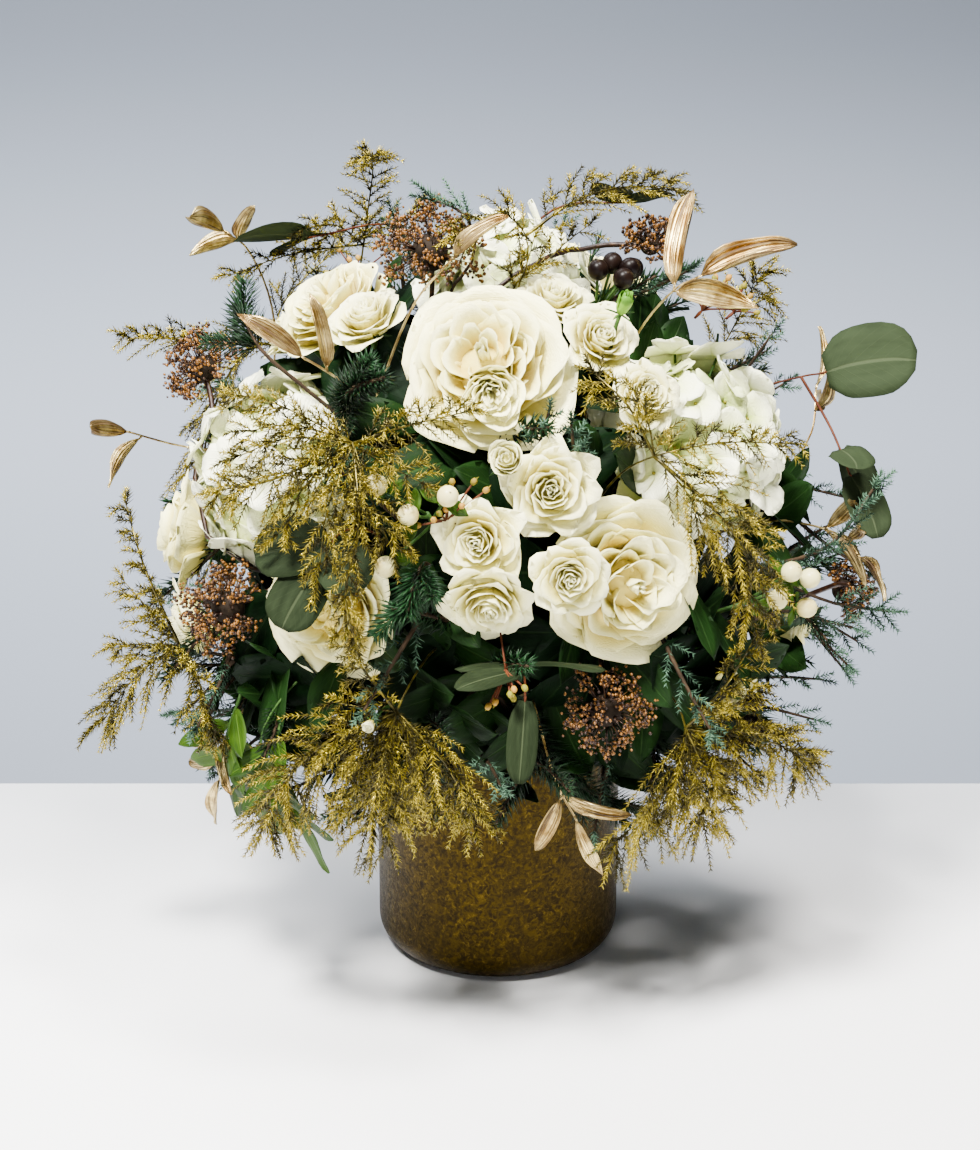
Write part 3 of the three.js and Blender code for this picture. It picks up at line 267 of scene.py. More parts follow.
class Paint:
    # one material's node tree
    def __init__(self, name):
        self.material = bpy.data.materials.new(name)
        self.material.use_nodes = True
        self.tree = self.material.node_tree
        self.tree.nodes.clear()

    def add(self, kind, settings=None, sockets=None, out=0):
        node = self.tree.nodes.new("ShaderNode" + kind)
        for key, value in (settings or {}).items():
            setattr(node, key, value)
        for key, value in (sockets or {}).items():
            if isinstance(value, Value):
                self.tree.links.new(value.socket, node.inputs[key])
            else:
                node.inputs[key].default_value = value
        return Value(self, node.outputs[out]) if node.outputs else node

    def grain(self):
        where = self.add("UVMap", {"uv_map": "grain"})
        return [self.add("SeparateXYZ", None, {0: where}, k) for k in (0, 1)]

    def tone(self):
        return self.add("Attribute", {"attribute_name": "tone"}, None, 2)

    def spot(self):
        return self.add("TexCoord", None, None, 3)

    def noise(self, where, scale, detail=3, roughness=0.5, distortion=0):
        values = {"Scale": scale, "Detail": detail, "Roughness": roughness, "Distortion": distortion}
        return self.add("TexNoise", None, {"Vector": where, **values})

    def streaks(self, u, v, tone, scale, detail, *rest):
        # noise that differs from petal to petal
        return self.noise(self.add("CombineXYZ", None, {0: u, 1: v, 2: tone}), scale, detail, *rest)

    def mix(self, share, first, second):
        pair = {6: first, 7: second}
        pair = {key: value if isinstance(value, Value) else (*value, 1) for key, value in pair.items()}
        return self.add("Mix", {"data_type": "RGBA", "clamp_factor": True}, {0: share, **pair}, 2)

    def between(self, value, low, high):
        # 0 below low, 1 above high, smooth between
        return self.add("MapRange", {"interpolation_type": "SMOOTHSTEP"}, {0: value, 1: low, 2: high})

    def finish(self, colour, roughness, bump=None, glow=0, glowColour=None, **others):
        # bump is a height, a strength and a distance; glow is the translucent share
        values = {"Base Color": colour, "Roughness": roughness}
        names = {"specular": "Specular IOR Level", "sheen": "Sheen Weight", "metallic": "Metallic"}
        for key, value in others.items():
            values[names[key]] = value
        if bump:
            height, strength, distance = bump
            bumped = {"Strength": strength, "Distance": distance, "Height": height}
            values["Normal"] = self.add("Bump", None, bumped)
        surface = self.add("BsdfPrincipled", None, values)
        if glow:
            back = self.add("BsdfTranslucent", None, {"Color": (*glowColour, 1)})
            surface = self.add("MixShader", None, {0: glow, 1: surface, 2: back})
        self.add("OutputMaterial", None, {0: surface})
        return self.material


def petalPaint(name, rim, depth, throat, glow, rimFrom=(0.50, 0.97), throatTo=(0.25, 0.72)):
    # light rims; deeper colour towards the foot, partly the petal's own colour and partly painted
    # shade; painted shade down between petals, where the tone is high; fine veins
    paint = Paint(name)
    u, v = paint.grain()
    tone = paint.tone()
    veins = paint.streaks(u * 26, v * 2.2, tone * 40, 1, 3)
    patch = paint.noise(paint.spot(), 45, 2)
    low = (1 - paint.between(v, *rimFrom)) * 0.3
    # painted shade: a high tone, a place deep between petals, mixes in the depth colour
    colour = paint.mix(low + paint.between(tone, 0.12, 0.62) * 0.7, rim, depth)
    low = (1 - paint.between(v, *throatTo)) * 0.45
    # painted shade: the deepest places take the throat colour
    colour = paint.mix(low + paint.between(tone, 0.45, 1.0) * 0.75, colour, throat)
    colour = paint.mix(paint.between(patch, 0.5, 0.75) * 0.2, colour, depth)
    height = veins + paint.noise(paint.spot(), 160, 2) * 0.6
    bump = (height, 0.6, 0.0014)
    return paint.finish(colour, 0.55 - veins * 0.12, bump, glow, rim, specular=0.35, sheen=0.1)


def leafPaint(name, dark, light, rib, shine=0.12, roughness=0.5):
    # a pale midrib, side veins and uneven colour
    paint = Paint(name)
    u, v = paint.grain()
    tone = paint.tone()
    across = (u - 0.5).calc("ABSOLUTE")
    middle = 1 - paint.between(across, 0.012, 0.035)
    veins = paint.between(((across * 14 - v * 16) * math.pi).calc("SINE"), 0.9, 1.0) * 0.5
    patch = paint.noise(paint.spot(), 60, 3)
    streak = paint.streaks(u * 6, v * 1.4, tone * 30, 1.6, 3)
    colour = paint.mix(paint.between(patch * 0.5 + streak * 0.5 + tone * 0.25, 0.35, 0.85), dark, light)
    colour = paint.mix((middle + veins * 0.3) * 0.7, colour, rib)
    height = middle * -1 + veins * 0.4 + streak * 0.5
    return paint.finish(colour, roughness + patch * 0.12, (height, 0.4, 0.001), specular=shine)


def twigPaint(name, dark, light, roughness=0.6, metallic=0.0, scale=180, shine=0.12, threshold=(0.35, 0.7)):
    # colour that differs from needle to needle
    paint = Paint(name)
    patch = paint.noise(paint.spot(), scale, 2)
    share = paint.between(patch * 0.5 + paint.tone() * 0.5, *threshold)
    colour = paint.mix(share, dark, light)
    bump = (patch, 0.25, 0.0006)
    return paint.finish(colour, roughness - share * 0.1, bump, metallic=metallic, specular=shine)


def gildedLeafPaint(name, shade, gold, streakColour, bronze):
    # gold paint with brown streaks along the leaf, and ribs
    paint = Paint(name)
    u, v = paint.grain()
    tone = paint.tone()
    streak = paint.streaks(u * 9, v * 0.9, tone * 50, 1.7, 5, 0.6, 0.6)
    patch = paint.noise(paint.spot(), 75, 4, 0.6)
    colour = paint.mix(paint.between(patch, 0.35, 0.7), shade, gold)
    colour = paint.mix(paint.between(streak, 0.50, 0.60) * 0.9, colour, streakColour)
    colour = paint.mix(paint.between(tone, 0.55, 1.0) * 0.5, colour, bronze)
    height = (u * (fullTurn * 8)).calc("SINE") * 0.5 + streak * 0.8
    return paint.finish(colour, 0.3 + paint.between(streak, 0.4, 0.7) * 0.3, (height, 0.5, 0.0008),
                        metallic=0.95 - paint.between(streak, 0.52, 0.62) * 0.5)


def vasePaint(name, shade, bronze, gold, worn):
    # lustre with a fine swirling mottle, darker in clouds
    paint = Paint(name)
    where = paint.spot()
    swirl = paint.noise(where, 150, 6, 0.66, 2.4)
    speck = paint.noise(where, 320, 4, 0.65, 1.0)
    cloud = paint.noise(where, 11, 2, 0.5, 0.5)
    height = swirl * 0.6 + speck * 0.4
    fleck = paint.between(height, 0.36, 0.66)
    colour = paint.mix(fleck, shade, bronze)
    colour = paint.mix(paint.between(speck, 0.56, 0.70) * 0.6, colour, gold)
    colour = paint.mix(paint.between(cloud, 0.4, 0.7) * 0.35, colour, worn)
    metallic = 0.25 + fleck * 0.25
    return paint.finish(colour, 0.50 - fleck * 0.12, (height, 0.35, 0.0012), metallic=metallic, specular=0.05)


def foamPaint(name, dark, light):
    paint = Paint(name)
    pores = paint.noise(paint.spot(), 700, 2)
    return paint.finish(paint.mix(pores, dark, light), 0.95, (pores, 0.6, 0.0008))


def berryPaint(name, skin, blush, tip, shine=0.3):
    # glossy, with a dark point at the end
    paint = Paint(name)
    patch = paint.noise(paint.spot(), 90, 3)
    colour = paint.mix(paint.between(patch, 0.4, 0.75), skin, blush)
    colour = paint.mix(paint.between(paint.grain()[1], 0.955, 0.985), colour, tip)
    return paint.finish(colour, 0.3 + patch * 0.1, (patch, 0.08, 0.001), specular=shine)


paints = {
    "rose": petalPaint("rose petals", (0.97, 0.93, 0.48), (0.84, 0.76, 0.22), (0.56, 0.40, 0.02), 0.05),
    "sprayRose": petalPaint("spray rose petals", (0.97, 0.94, 0.54), (0.84, 0.79, 0.27), (0.56, 0.45, 0.03),
                            0.05),
    "floret": petalPaint("hydrangea florets", (0.93, 0.94, 0.68), (0.66, 0.72, 0.26), (0.24, 0.32, 0.03),
                         0.03, (0.05, 0.55), (0.0, 0.24)),
    "leaf": leafPaint("rose leaves", (0.0012, 0.005, 0.001), (0.005, 0.019, 0.0025), (0.012, 0.032, 0.006),
                      0.07),
    # near-black leaves that stand for the shade deep in the ball and inside the hydrangea heads: painted
    # shade
    "shadeBacking": leafPaint("painted shade leaves", (0.0008, 0.003, 0.001), (0.002, 0.008, 0.002), (0.006, 0.015, 0.004),
                         0.03),
    "eucalyptus": leafPaint("eucalyptus leaves", (0.005, 0.0085, 0.003), (0.014, 0.021, 0.009),
                            (0.032, 0.042, 0.020), 0.04, 0.7),
    "ruscus": leafPaint("ruscus leaves", (0.006, 0.020, 0.001), (0.026, 0.060, 0.0015), (0.05, 0.10, 0.006),
                        0.1),
    "gilded": gildedLeafPaint("gilded leaf", (0.22, 0.13, 0.03), (0.84, 0.66, 0.28), (0.020, 0.008, 0.003),
                              (0.08, 0.035, 0.010)),
    "fern": twigPaint("gilded fern", (0.022, 0.018, 0.002), (0.68, 0.53, 0.034), 0.34, 0.75, 140, 0.5,
                      (0.40, 0.90)),
    "stem": twigPaint("green stems", (0.012, 0.035, 0.006), (0.05, 0.11, 0.02)),
    "redStem": twigPaint("red petioles", (0.035, 0.007, 0.003), (0.10, 0.028, 0.007)),
    "bark": twigPaint("twig bark", (0.010, 0.006, 0.003), (0.04, 0.024, 0.012), 0.8),
    "fir": twigPaint("fir needles", (0.001, 0.005, 0.001), (0.006, 0.024, 0.007), 0.5, 0, 120, 0.1),
    "juniper": twigPaint("juniper needles", (0.004, 0.014, 0.007), (0.065, 0.13, 0.08), 0.6, 0, 120),
    "skimmia": twigPaint("skimmia buds", (0.014, 0.004, 0.001), (0.17, 0.068, 0.009), 0.42, 0.3, 260, 0.4),
    "budGreen": twigPaint("green bud", (0.06, 0.16, 0.01), (0.16, 0.34, 0.02), 0.5),
    "seed": twigPaint("seed capsules", (0.14, 0.13, 0.01), (0.30, 0.15, 0.02)),
    "hypericum": berryPaint("ivory berries", (0.60, 0.55, 0.24), (0.48, 0.38, 0.12), (0.02, 0.008, 0.004)),
    "darkBerry": berryPaint("dark berries", (0.002, 0.001, 0.001), (0.006, 0.003, 0.002), (0.03, 0.02, 0.01),
                            0.07),
    "vase": vasePaint("bronze gold glaze", (0.008, 0.0046, 0.0003), (0.046, 0.028, 0.0010),
                      (0.11, 0.070, 0.008), (0.018, 0.011, 0.001)),
    "foam": foamPaint("wet foam", (0.004, 0.012, 0.005), (0.010, 0.03, 0.012)),
}
print("materials:", len(paints))

bloomBalls = []  # middle and radius of each flower head; nothing grows into these


def clearOfBlooms(points, room=0.0):
    moved = np.array(points, float)
    for _ in range(8):
        for middle, radius in bloomBalls:
            away = moved - middle
            far = np.maximum(np.linalg.norm(away, axis=-1, keepdims=True), 1e-6)
            moved = np.where(far < radius + room, middle + away / far * (radius + room), moved)
    return moved


def curveThrough(knots, steps):
    # a smooth curve through knots that stand at uneven distances
    knots = np.array(knots, float)
    ends = np.vstack([2 * knots[0] - knots[1], knots, 2 * knots[-1] - knots[-2]])
    share = np.arange(steps)[:, None] / steps
    points = []
    for a, b, c, d in zip(ends, ends[1:], ends[2:], ends[3:]):
        one, two, three = (math.sqrt(np.linalg.norm(q - p)) for p, q in ((a, b), (b, c), (c, d)))
        start = ((b - a) / one - (c - a) / (one + two) + (c - b) / two) * two
        end = ((c - b) / two - (d - b) / (two + three) + (d - c) / three) * two
        bent = (3 * (c - b) - 2 * start - end) * share**2 + (2 * (b - c) + start + end) * share**3
        points.append(b + start * share + bent)
    return np.vstack([*points, knots[-1:]])


def rootOf(node):
    # a stem's cut end in the foam and where it leaves the foam, from the CAD's own stem
    points = nodePoints(node) - heart
    far = np.linalg.norm(points, axis=1)
    way = unitOf(points[far < far.min() + 1.5].mean(axis=0))
    return [heart + way * 30, heart + way * 80]


class Path:
    # a branch's line, with directions along it and up from it at each point
    def __init__(self, points):
        self.points = np.asarray(points, float)
        steps = np.linalg.norm(np.diff(self.points, axis=0), axis=1)
        self.lengths = np.concatenate([[0], np.cumsum(steps)])
        self.length = self.lengths[-1]
        self.along = unitOf(np.gradient(self.points, axis=0))
        up = unitOf(self.points[-1] - ballMiddle)
        if abs(up @ self.along[-1]) > 0.95:
            up = -down
        self.ups = np.zeros_like(self.points)
        for i in reversed(range(len(self.points))):
            up = unitOf(up - self.along[i] * (up @ self.along[i]))
            self.ups[i] = up

    def at(self, distances):
        # place, along, up and side at some distances
        def take(table):
            return np.stack([np.interp(distances, self.lengths, table[:, k]) for k in range(3)], axis=-1)

        along, up = unitOf(take(self.along)), take(self.ups)
        up = unitOf(up - along * (up * along).sum(axis=-1, keepdims=True))
        return take(self.points), along, up, np.cross(along, up)


def branchesOf(node, branches, heads=None):
    # each branch's path, bent clear of the flower heads, with where its leafy stretch starts
    made = []
    forks = []
    for k, (via, fork) in enumerate(branches):
        start = [forks[fork]] if made else rootOf(node)
        points = curveThrough([*start, *[place(spot) for spot in via]], 4)
        order = np.arange(len(points))
        nearTip = np.maximum(0, 1 - (order[-1] - order) / 4)[:, None]
        room = (heads[k] if heads else 0) * 1.15 * nearTip
        straight = (order <= (len(start) - 1) * 4)[:, None]
        points = np.where(straight, points, clearOfBlooms(points, room))
        if not made:
            forks = [points[(len(start) + i) * 4] for i in range(len(via))]
        path = Path(curveThrough(points, 3))
        made.append((path, 0.15 * path.length if made else path.lengths[(len(start) + 1) * 12]))
    return made


class BloomFrame:
    # a bloom's directions, and the ball that its petals fill
    def __init__(self, spot, faces, size):
        self.size = size
        self.axis = towards(*faces)
        self.base = place(spot) - self.axis * 0.78 * size
        self.ball = (self.base + self.axis * 0.14 * size, 1.04 * size)
        self.x = unitOf(np.cross(-down, self.axis))
        self.y = np.cross(self.axis, self.x)

    def point(self, angle, radius, height, centre=(0, 0)):
        # in shares of the bloom's size
        east = (centre[0] + radius * np.cos(angle))[..., None]
        north = (centre[1] + radius * np.sin(angle))[..., None]
        return self.base + self.size * (east * self.x + north * self.y + height[..., None] * self.axis)


def petals(batch, bloom, rng, turns, radius, half, centres=(0.0, 0.0), low=0.10, foot=0.0, rise=0.0,
           curl=0.06, tip=0.0, wave=0.03, cup=0.75, twist=0.08, rows=9, cols=9, jitter=0.05, look=0,
           share=1.0):
    # a whorl of petals: their rims stand on the bloom's dome at a radius, and their tones say how
    # deep below the dome each place is, which the petal paint turns into painted shade; share
    # scales that painted shade, less on the outer whorls
    def each(value):
        return np.broadcast_to(np.asarray(value, float), (len(turns),)).reshape(-1, 1, 1)

    def domeAt(distance):
        return 0.87 * np.sqrt(np.maximum(0.02, 1 - (distance / 1.13) ** 2))

    one = (len(turns), 1, 1)
    v = np.linspace(0, 1, rows)[None, :, None]
    u = np.linspace(-1, 1, cols)[None, None, :]
    radius = each(radius) * (1 + jitter * (rng.random(one) - 0.5))
    dome = domeAt(each(np.hypot(*centres)) * 0.8 + radius) + each(rise) + jitter * (rng.random(one) - 0.5)
    lean = rng.uniform(-0.06, 0.06, one)
    reach = v * (1 - (0.16 + each(tip)) * np.abs(u) ** 2.2 + lean * u * v)
    narrowing = 0.12 * np.clip((reach - 0.65) / 0.35, 0, 1) ** 2
    width = 0.45 + 0.55 * np.sin(np.minimum(1, reach / 0.65) * math.pi / 2) - narrowing
    phase = rng.uniform(0, fullTurn, one)
    ripple = np.sin(u * (4.2 + 2 * rng.random(one)) + phase) * reach**3
    roll = np.clip((reach - 0.68) / 0.32, 0, 1) ** 2
    point = np.exp(-(u / 0.24) ** 2) * np.clip((reach - 0.6) / 0.4, 0, 1) ** 2
    crumple = np.sin(u * 7 + v * 5 + 2 * phase) * np.cos(v * 9 - u * 3 + phase)
    far = low + (radius - low) * reach**cup + each(curl) * roll + each(wave) * ripple + each(tip) * point
    far = far + each(twist) * u * radius * (0.3 + 0.7 * reach) + 0.018 * crumple * reach
    high = foot + (dome - foot) * reach ** (1 / cup) - np.maximum(each(curl), 0) * 0.9 * roll
    high = high + each(wave) * 0.5 * np.cos(u * 3 + phase) * reach**3 - each(tip) * 0.7 * point
    high = high + 0.012 * crumple * reach
    angle = np.asarray(turns).reshape(-1, 1, 1) + u * each(half) * width
    middle = [each(c) * reach for c in centres]
    off = np.hypot(middle[0] + far * np.cos(angle), middle[1] + far * np.sin(angle))
    # painted shade: the deeper a place lies below the dome, the higher its tone
    paintedShade = np.clip((domeAt(off) - high - 0.02) / 0.30, 0, 1)
    tones = 0.12 * rng.random(one) + 0.88 * share * paintedShade
    blades(batch, bloom.point(angle, far, high, middle), 0.007 * bloom.size + 0.22, tones, look)


def whorlTurns(rng, first, count):
    return first + np.arange(count) * fullTurn / count + rng.uniform(-0.2, 0.2, count)


def sepals(batch, bloom, rng, look, length=0.5):
    turns = np.arange(5) * fullTurn / 5 + rng.uniform(-0.1, 0.1, 5)
    v = np.linspace(0, 1, 6)[None, :, None]
    u = np.linspace(-1, 1, 3)[None, None, :]
    angle = turns[:, None, None] + u * 0.5 * (1 - v) ** 0.7 / (1 + 2 * v)
    far = 0.12 + length * v + 0 * u
    high = -0.10 + 0.16 * v - 0.12 * v**2 - 0.03 * np.abs(u)
    blades(batch, bloom.point(angle, far, high), 0.7, rng.random(5), look)


# each garden rose's spot, the azimuth and elevation it faces, its size, how far its swirl's middle
# is from the bloom's, and whether a second rosette stands below the first
gardenRoses = {
    "front_top": {
        "spot": (-3, 43, 186), "faces": (-3, 26), "size": 46, "swirl": (-0.06, 0.14), "second": True,
    },
    "front_right": {"spot": (24, 3, 180), "faces": (22, 3), "size": 44, "swirl": (0.02, 0.04)},
    "front_left": {"spot": (-33, -4, 184), "faces": (-30, -10), "size": 42, "swirl": (-0.05, 0.16)},
    "top_left": {"spot": (-70, 53, 184), "faces": (-60, 48), "size": 36, "swirl": (0.05, 0.0)},
    "back_top": {"spot": (150, 42, 186), "faces": (150, 34), "size": 45, "swirl": (0.1, 0.05)},
    "back_right": {"spot": (116, 4, 188), "faces": (114, 0), "size": 43, "swirl": (-0.08, 0.06)},
}


def gardenRose(name, seed, spot, faces, size, swirl, second=False):
    rng = np.random.default_rng(seed)
    bloom = BloomFrame(spot, faces, size)
    batch = Batch("rose", "stem")
    start = rng.uniform(0, 6)
    whorls = [  # petals, rim radius, half angle, curl, tip, share of the swirl's offset
        (4, 0.93, 1.02, 0.10, 0.05, 0.0), (4, 0.87, 0.98, 0.08, 0.05, 0.1), (5, 0.77, 0.84, 0.06, 0.04, 0.3),
        (5, 0.67, 0.84, 0.04, 0.03, 0.5), (5, 0.54, 0.86, 0.02, 0.02, 0.8),
    ]
    for k, (count, radius, half, curl, tip, share) in enumerate(whorls):
        turns = whorlTurns(rng, start + k * 0.75, count)
        petals(batch, bloom, rng, turns, radius, half * rng.uniform(0.85, 1.1, count),
               (swirl[0] * share, swirl[1] * share), curl=curl, tip=tip * (rng.random(count) < 0.5),
               cup=0.62 + 0.05 * k, wave=rng.uniform(0.03, 0.075, count), foot=-0.02, jitter=0.15,
               rows=10, cols=11, twist=0.10, share=min(1, 0.45 + 0.2 * k))
    # the middle: folds that turn round several points, then the innermost ones
    folds = 14
    away = 0.30 * np.sqrt((np.arange(folds) + 0.6) / folds)[::-1]
    around = start + np.arange(folds) * goldenAngle
    centres = (swirl[0] + away * np.cos(around), swirl[1] + away * np.sin(around))
    petals(batch, bloom, rng, around + rng.uniform(-0.5, 0.5, folds),
           0.12 + 0.55 * away + rng.uniform(0, 0.07, folds), rng.uniform(1.0, 1.7, folds), centres,
           low=0.03, curl=rng.uniform(-0.02, 0.04, folds), cup=0.85,
           wave=rng.uniform(0.01, 0.035, folds), twist=rng.uniform(0.1, 0.35, folds), foot=0.08,
           rise=rng.uniform(-0.12, 0.05, folds), jitter=0.1, rows=9, cols=11)
    petals(batch, bloom, rng, start + np.arange(4) * 1.9, [0.10, 0.075, 0.05, 0.03], 1.5, swirl, low=0.02,
           curl=-0.01, cup=0.9, wave=0.01, twist=0.2, foot=0.1, rise=0.03)
    if second:
        rosette = [(4, 0.34), (4, 0.28), (4, 0.21), (4, 0.15), (3, 0.10), (3, 0.05)]  # petals, rim radius
        for k, (count, radius) in enumerate(rosette):
            turns = whorlTurns(rng, k * 0.9, count)
            petals(batch, bloom, rng, turns, radius, rng.uniform(0.95, 1.2, count), (0.10, -0.46), low=0.03,
                   curl=0.03, cup=0.8, wave=0.02, foot=0.1, rise=0.17 + 0.01 * k, twist=0.14, jitter=0.08)
    # a cushion under the petals in the deep tone, so the gaps between petals show painted shade
    cushion = bloom.base + bloom.axis * 0.26 * size + 0.1 * size * (swirl[0] * bloom.x + swirl[1] * bloom.y)
    beads(batch, cushion, 0.4 * size, 0.9, 10, 16, bloom.axis, 0.8)
    batch.piece("rose_" + name, "rose_petals", "garden_rose_" + name + "_bloom")

    stem = Batch("stem", "leaf")
    node = "garden_rose_" + name + "_stem"
    ends = [bloom.base - bloom.axis * size * share for share in (0.32, 0.16, 0.10, 0.02)]
    tube(stem, curveThrough([*rootOf(node), ends[0]], 5), 2.7, 8)
    tube(stem, ends, np.array([0.055, 0.09, 0.14, 0.15]) * size, 12)
    sepals(stem, bloom, np.random.default_rng(len(name)), 0)
    stem.piece("stem_" + name, "green_stem", node)


# each spray rose's fork, and each bloom's spot, the way it faces and its size
sprayRoses = {
    "front": ((4, 10, 118), [
        ((9, 20.5, 192), (7, 14), 26), ((-3.5, 12.5, 192), (-8, 10), 24),
        ((11, 6.5, 198), (6, 2), 21), ((-2, 1.5, 192), (-3, -24), 24),
    ]),
    "top_right": ((30, 54, 120), [
        ((27, 48, 186), (20, 36), 22), ((22, 62, 176), (14, 60), 21), ((31, 35, 192), (26, 26), 19),
    ]),
    "top_left": ((-62, 46, 116), [((-42, 52, 186), (-38, 56), 23), ((-93, 44, 178), (-88, 44), 23)]),
    "left": ((-82, -2, 112), [((-86, 0, 200), (-92, 2), 35), ((-76, -15, 202), (-74, -22), 25)]),
    "lower_right": ((68, -14, 118), [((78, -15, 196), (76, -8), 25), ((56, -25, 186), (52, -26), 25)]),
    "back": ((176, -2, 116), [((168, 0, 192), (168, 0), 27), ((-174, -14, 188), (-174, -16), 24)]),
}


def smallRose(batch, bloom, rng, look):
    start = rng.uniform(0, 6)
    whorls = [  # petals, rim radius, half angle, curl, tip
        (5, 0.89, 0.80, 0.12, 0.19), (5, 0.77, 0.80, 0.11, 0.15), (4, 0.62, 0.98, 0.09, 0.10),
        (4, 0.48, 1.0, 0.04, 0.02), (4, 0.36, 1.1, 0.02, 0.0), (3, 0.27, 1.25, 0.01, 0.0),
        (3, 0.18, 1.3, 0.0, 0.0), (3, 0.11, 1.4, -0.01, 0.0), (2, 0.05, 1.9, -0.01, 0.0),
    ]
    lean = rng.uniform(-0.05, 0.05, 2)
    # a cushion under the petals in the deep tone, so the gaps between petals show painted shade
    cushion = bloom.base + bloom.axis * 0.2 * bloom.size
    beads(batch, cushion, 0.3 * bloom.size, 0.9, 6, 10, bloom.axis, 0.9, look)
    for k, (count, radius, half, curl, tip) in enumerate(whorls):
        turns = whorlTurns(rng, start + k * 0.7, count)
        petals(batch, bloom, rng, turns, radius, half * rng.uniform(0.88, 1.1, count), lean * min(k, 4) / 3,
               low=min(0.1, radius * 0.6), curl=curl * rng.uniform(0.6, 1.4, count),
               tip=tip * rng.uniform(0.2, 1.1, count), cup=0.6 + 0.04 * k,
               wave=rng.uniform(0.02, 0.05, count), foot=-0.02, rise=0.0 if radius > 0.3 else -0.03,
               rows=7, cols=8 if k < 3 else 7, jitter=0.09, twist=0.11, look=look,
               share=min(1, 0.5 + 0.2 * k))


def sprayRose(name, fork, blooms, seed):
    rng = np.random.default_rng(seed)
    node = "spray_rose_" + name
    batch = Batch("sprayRose", "stem", "rose")
    root, end = rootOf(node), place(fork)
    tube(batch, curveThrough([*root, end], 4), 2.2, 8, look=1)
    back = unitOf(root[1] - end)
    for n, (spot, faces, size) in enumerate(blooms):
        bloom = BloomFrame(spot, faces, size)
        below = bloom.base - bloom.axis * 0.14 * size
        line = curveThrough([end + back * (2 + 4 * n), below, bloom.base], 5)
        tube(batch, line, [1.8] * 6 + [2.0, 2.4, 2.8, 3.2, 3.6], 8, look=1)
        smallRose(batch, bloom, rng, 2 if size > 30 else 0)
        sepals(batch, bloom, rng, 1)
    batch.piece("sprayrose_" + name, "spray_rose", node)


# each hydrangea's spot and size
hydrangeas = {
    "left": ((-64, 19, 140), 54), "right": ((56, 27, 138), 57), "top": ((20, 84, 138), 47),
    "back": ((-152, 14, 138), 55),
}


def fibonacci(count, turn=0.0):
    # evenly spread directions
    z = 1 - (2 * np.arange(count) + 1) / count
    angle = np.arange(count) * goldenAngle + turn
    level = np.sqrt(1 - z * z)
    return np.stack([level * np.cos(angle), level * np.sin(angle), z], axis=1)


def hydrangea(name, spot, size, seed):
    rng = np.random.default_rng(seed)
    middle = place(spot)
    outward = unitOf(middle - heart)
    ways = fibonacci(84, seed)
    ways = ways[ways @ outward > -0.28]
    ways = unitOf(ways + rng.normal(0, 0.05, ways.shape))
    count = len(ways)
    batch = Batch("floret", "shadeBacking", "seed", "stem")
    # a near-black ball inside the head, standing in for the shade between the florets: painted shade
    beads(batch, middle, size * 0.74, 0.3, 12, 18, outward, look=1)
    feet = middle + ways * (size * rng.uniform(0.75, 1.0, count))[:, None]
    axis = unitOf(ways + rng.normal(0, 0.24, ways.shape))
    x, y = acrossOf(axis)
    spin = rng.uniform(0, fullTurn, count)
    # four petals for each floret
    def varied(values):
        return values[:, None, None]

    floret = np.repeat(np.arange(count), 4)
    each = 4 * count
    v = np.linspace(0, 1, 5)[None, :, None]
    u = np.linspace(-1, 1, 5)[None, None, :]
    angle = spin[floret] + np.tile(np.arange(4), count) * math.pi / 2 + rng.normal(0, 0.07, each)
    out = np.cos(angle)[:, None] * x[floret] + np.sin(angle)[:, None] * y[floret]
    side = np.cross(axis[floret], out)
    long = varied(rng.uniform(15.5, 18.5, count)[floret] * rng.uniform(0.93, 1.07, each))
    wide = long * varied(rng.uniform(0.56, 0.66, each))
    shape = np.sin(math.pi * (0.07 + 0.79 * v**1.3)) ** 0.8
    bend = varied(rng.uniform(-0.25, 0.42, each))
    far = long * v * (1 - 0.10 * np.abs(u) ** 2)
    over = wide * shape * u
    high = long * (0.16 * v - bend * v**2 + 0.12 * np.abs(u) ** 2 * shape + 0.06 * u)
    high = high + 0.4 * np.sin(u * 4 + varied(angle) * 5) * v
    sheets = (varied(feet[floret]) + far[..., None] * varied(out) + over[..., None] * varied(side)
              + high[..., None] * varied(axis[floret]))
    # painted shade: places deeper inside the head get a higher tone, which the floret paint darkens and
    # greens
    paintedShade = np.clip((size * 1.02 - np.linalg.norm(sheets - middle, axis=3)) / (size * 0.26), 0, 1)
    blades(batch, sheets, 0.4, paintedShade * 0.85 + varied(np.repeat(rng.random(count), 4)) * 0.2)
    beads(batch, feet + axis, 1.15, rng.random(count) * 0.5, 3, 5, axis, look=2)
    for foot, way in zip(feet, ways):
        tube(batch, [middle + way * size * 0.6, foot], [0.9, 0.7], 4, look=3)
    batch.piece("hydrangea_" + name, "hydrangea_florets", "hydrangea_" + name + "_head")
    stem = Batch("stem")
    node = "hydrangea_" + name + "_stem"
    tube(stem, curveThrough([*rootOf(node), middle - outward * size * 0.75], 4), 2.9, 8)
    stem.piece("hydrangeastem_" + name, "green_stem", node)


def ballsOf(blooms):
    return [BloomFrame(*bloom).ball for bloom in blooms]


for _, blooms in sprayRoses.values():
    bloomBalls += ballsOf(blooms)
bloomBalls += ballsOf([(rose["spot"], rose["faces"], rose["size"]) for rose in gardenRoses.values()])
bloomBalls += [(place(spot), 1.1 * size) for spot, size in hydrangeas.values()]
for k, (name, rose) in enumerate(gardenRoses.items()):
    gardenRose(name, 11 + k, **rose)
for k, (name, (fork, blooms)) in enumerate(sprayRoses.items()):
    sprayRose(name, fork, blooms, 31 + k)
for k, (name, (spot, size)) in enumerate(hydrangeas.items()):
    hydrangea(name, spot, size, 51 + k)
print("blooms made")


